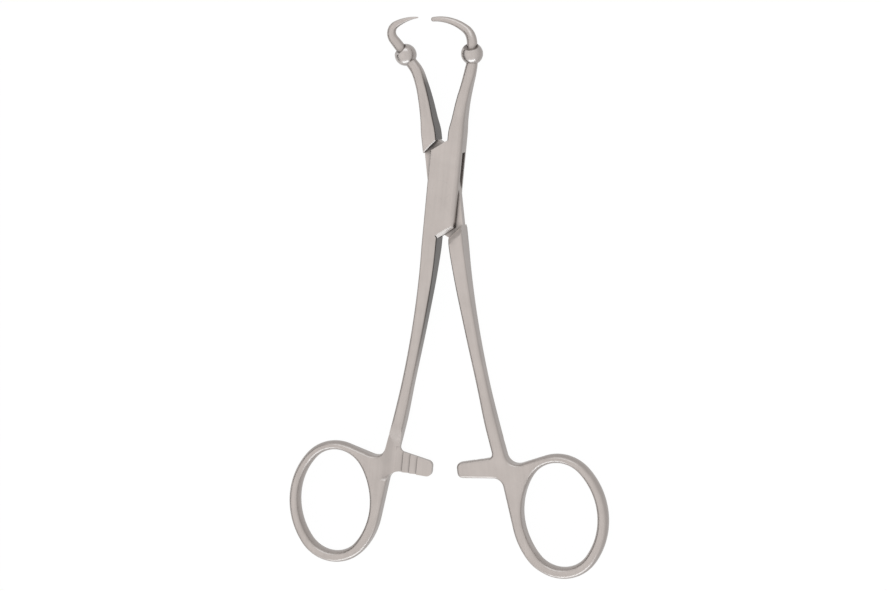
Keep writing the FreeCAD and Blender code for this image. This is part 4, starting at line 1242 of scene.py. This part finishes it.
def area_light(name, place, size, power, tint):
    """A soft lamp that faces the pivot, in metres and watts."""
    lamp = bpy.data.lights.new(name, "AREA")
    lamp.shape = "RECTANGLE"
    lamp.size, lamp.size_y = size
    lamp.energy = power
    lamp.color = tint
    thing = bpy.data.objects.new(name, lamp)
    thing.location = place
    thing.rotation_euler = (-Vector(place)).to_track_quat("-Z", "Y").to_euler()
    bpy.context.scene.collection.objects.link(thing)


def stage_sheet(name, corners, material):
    """A flat sheet of the stage."""
    shape = bmesh.new()
    shape.faces.new([shape.verts.new(corner) for corner in corners])
    mesh = bpy.data.meshes.new(name)
    shape.to_mesh(mesh)
    shape.free()
    sheet = bpy.data.objects.new(name, mesh)
    sheet.data.materials.append(material)
    bpy.context.scene.collection.objects.link(sheet)


def floor_material(stage):
    """White floor: plain white to the camera, with a little of the object's shadow."""
    material, tree = new_material("White floor")
    add, link = tree.nodes.new, tree.links.new
    tree.nodes.remove(tree.nodes["Principled BSDF"])
    paper = add("ShaderNodeBsdfDiffuse")
    paper.inputs["Color"].default_value = (*[stage.paper * part for part in stage.floor], 1)
    glow = add("ShaderNodeEmission")
    glow.inputs["Color"].default_value = (*stage.floor, 1)
    glow.inputs["Strength"].default_value = stage.glow
    mix = add("ShaderNodeMixShader")
    link(math_node(tree, "MULTIPLY", seen_as_background(tree), 1 - stage.shadow), mix.inputs["Fac"])
    link(paper.outputs["BSDF"], mix.inputs[1])
    link(glow.outputs["Emission"], mix.inputs[2])
    link(mix.outputs["Shader"], tree.nodes["Material Output"].inputs["Surface"])
    return material


def flag_material(stage):
    """Dark cloth that only reflections show."""
    material, tree = new_material("Dark flag")
    shader = tree.nodes["Principled BSDF"]
    shader.inputs["Base Color"].default_value = (*stage.flag, 1)
    shader.inputs["Roughness"].default_value = 1.0
    rays = tree.nodes.new("ShaderNodeLightPath")
    tree.links.new(rays.outputs["Is Glossy Ray"], shader.inputs["Alpha"])
    return material


class FORCEPS_OT_stage(bpy.types.Operator):
    """Sets the floor, the lights, the background and the camera"""
    bl_idname = "forceps.stage"
    bl_label = "Stage"

    def execute(self, context):
        stage = context.scene.forceps_stage
        wide = stage.floor_reach
        stage_sheet("floor", [(-wide, -wide, 0), (wide, -wide, 0), (wide, wide, 0), (-wide, wide, 0)],
                    floor_material(stage))
        reach, low, high = stage.flag_distance, stage.flag_low, stage.flag_high
        stage_sheet("flag_left", [(-reach, -reach, low), (-reach, reach, low), (-reach, reach, high),
                                  (-reach, -reach, high)], flag_material(stage))
        for lamp in LAMPS:
            area_light(*lamp)

        world = bpy.data.worlds.new("Studio")
        context.scene.world = world
        world.use_nodes = True
        tree = world.node_tree
        background = tree.nodes["Background"]
        colour_mix = tree.nodes.new("ShaderNodeMix")
        colour_mix.data_type = "RGBA"
        colour_mix.inputs["A"].default_value = (*stage.around, 1)
        colour_mix.inputs["B"].default_value = (*stage.floor, 1)
        tree.links.new(seen_as_background(tree), colour_mix.inputs["Factor"])
        tree.links.new(colour_mix.outputs["Result"], background.inputs["Color"])
        background.inputs["Strength"].default_value = 1.0

        camera = bpy.data.objects.new("camera", bpy.data.cameras.new("camera"))
        context.scene.collection.objects.link(camera)
        camera.location = (stage.camera_x, stage.camera_y, stage.camera_z)
        camera.rotation_euler = (stage.camera_tilt, stage.camera_pan, stage.camera_roll)
        camera.data.lens = stage.lens
        camera.data.sensor_width = 36.0
        camera.data.clip_start = 0.01
        context.scene.camera = camera
        context.scene.view_settings.view_transform = "Standard"
        return {"FINISHED"}


OPERATORS = (FORCEPS_OT_box_half, FORCEPS_OT_tongue_half, FORCEPS_OT_tines, FORCEPS_OT_ball_stops,
             FORCEPS_OT_pivot_rivet, FORCEPS_OT_stage)
SETTINGS = {"forceps_lock": LockSizes, "forceps_plate": PlateSizes, "forceps_arm": ArmSizes,
            "forceps_limbs": LimbSizes, "forceps_jaw": JawSizes, "forceps_box": BoxTineSizes,
            "forceps_tongue": TongueTineSizes, "forceps_finish": FinishSettings,
            "forceps_stage": StageSettings}


class FORCEPS_PT_panel(bpy.types.Panel):
    """Lists the forceps' pieces and their settings in the sidebar"""
    bl_idname = "FORCEPS_PT_panel"
    bl_label = "Towel forceps"
    bl_space_type = "VIEW_3D"
    bl_region_type = "UI"
    bl_category = "Forceps"

    def draw(self, context):
        layout = self.layout
        for operator in OPERATORS:
            layout.operator(operator.bl_idname)
        for name, group in SETTINGS.items():
            box = layout.box()
            for prop in group.__annotations__:
                box.prop(getattr(context.scene, name), prop)


def register():
    """Makes the settings, the operators and the panel known."""
    for group in SETTINGS.values():
        bpy.utils.register_class(group)
    for name, group in SETTINGS.items():
        setattr(bpy.types.Scene, name, bpy.props.PointerProperty(type=group))
    for item in (*OPERATORS, FORCEPS_PT_panel):
        bpy.utils.register_class(item)


def unregister():
    """Takes them away again."""
    for item in (FORCEPS_PT_panel, *reversed(OPERATORS)):
        bpy.utils.unregister_class(item)
    for name in SETTINGS:
        delattr(bpy.types.Scene, name)
    for group in reversed(SETTINGS.values()):
        bpy.utils.unregister_class(group)


def main():
    """Makes every piece and the stage."""
    register()
    for operator in OPERATORS:
        category, name = operator.bl_idname.split(".")
        getattr(getattr(bpy.ops, category), name)()


if __name__ == "__main__":
    main()
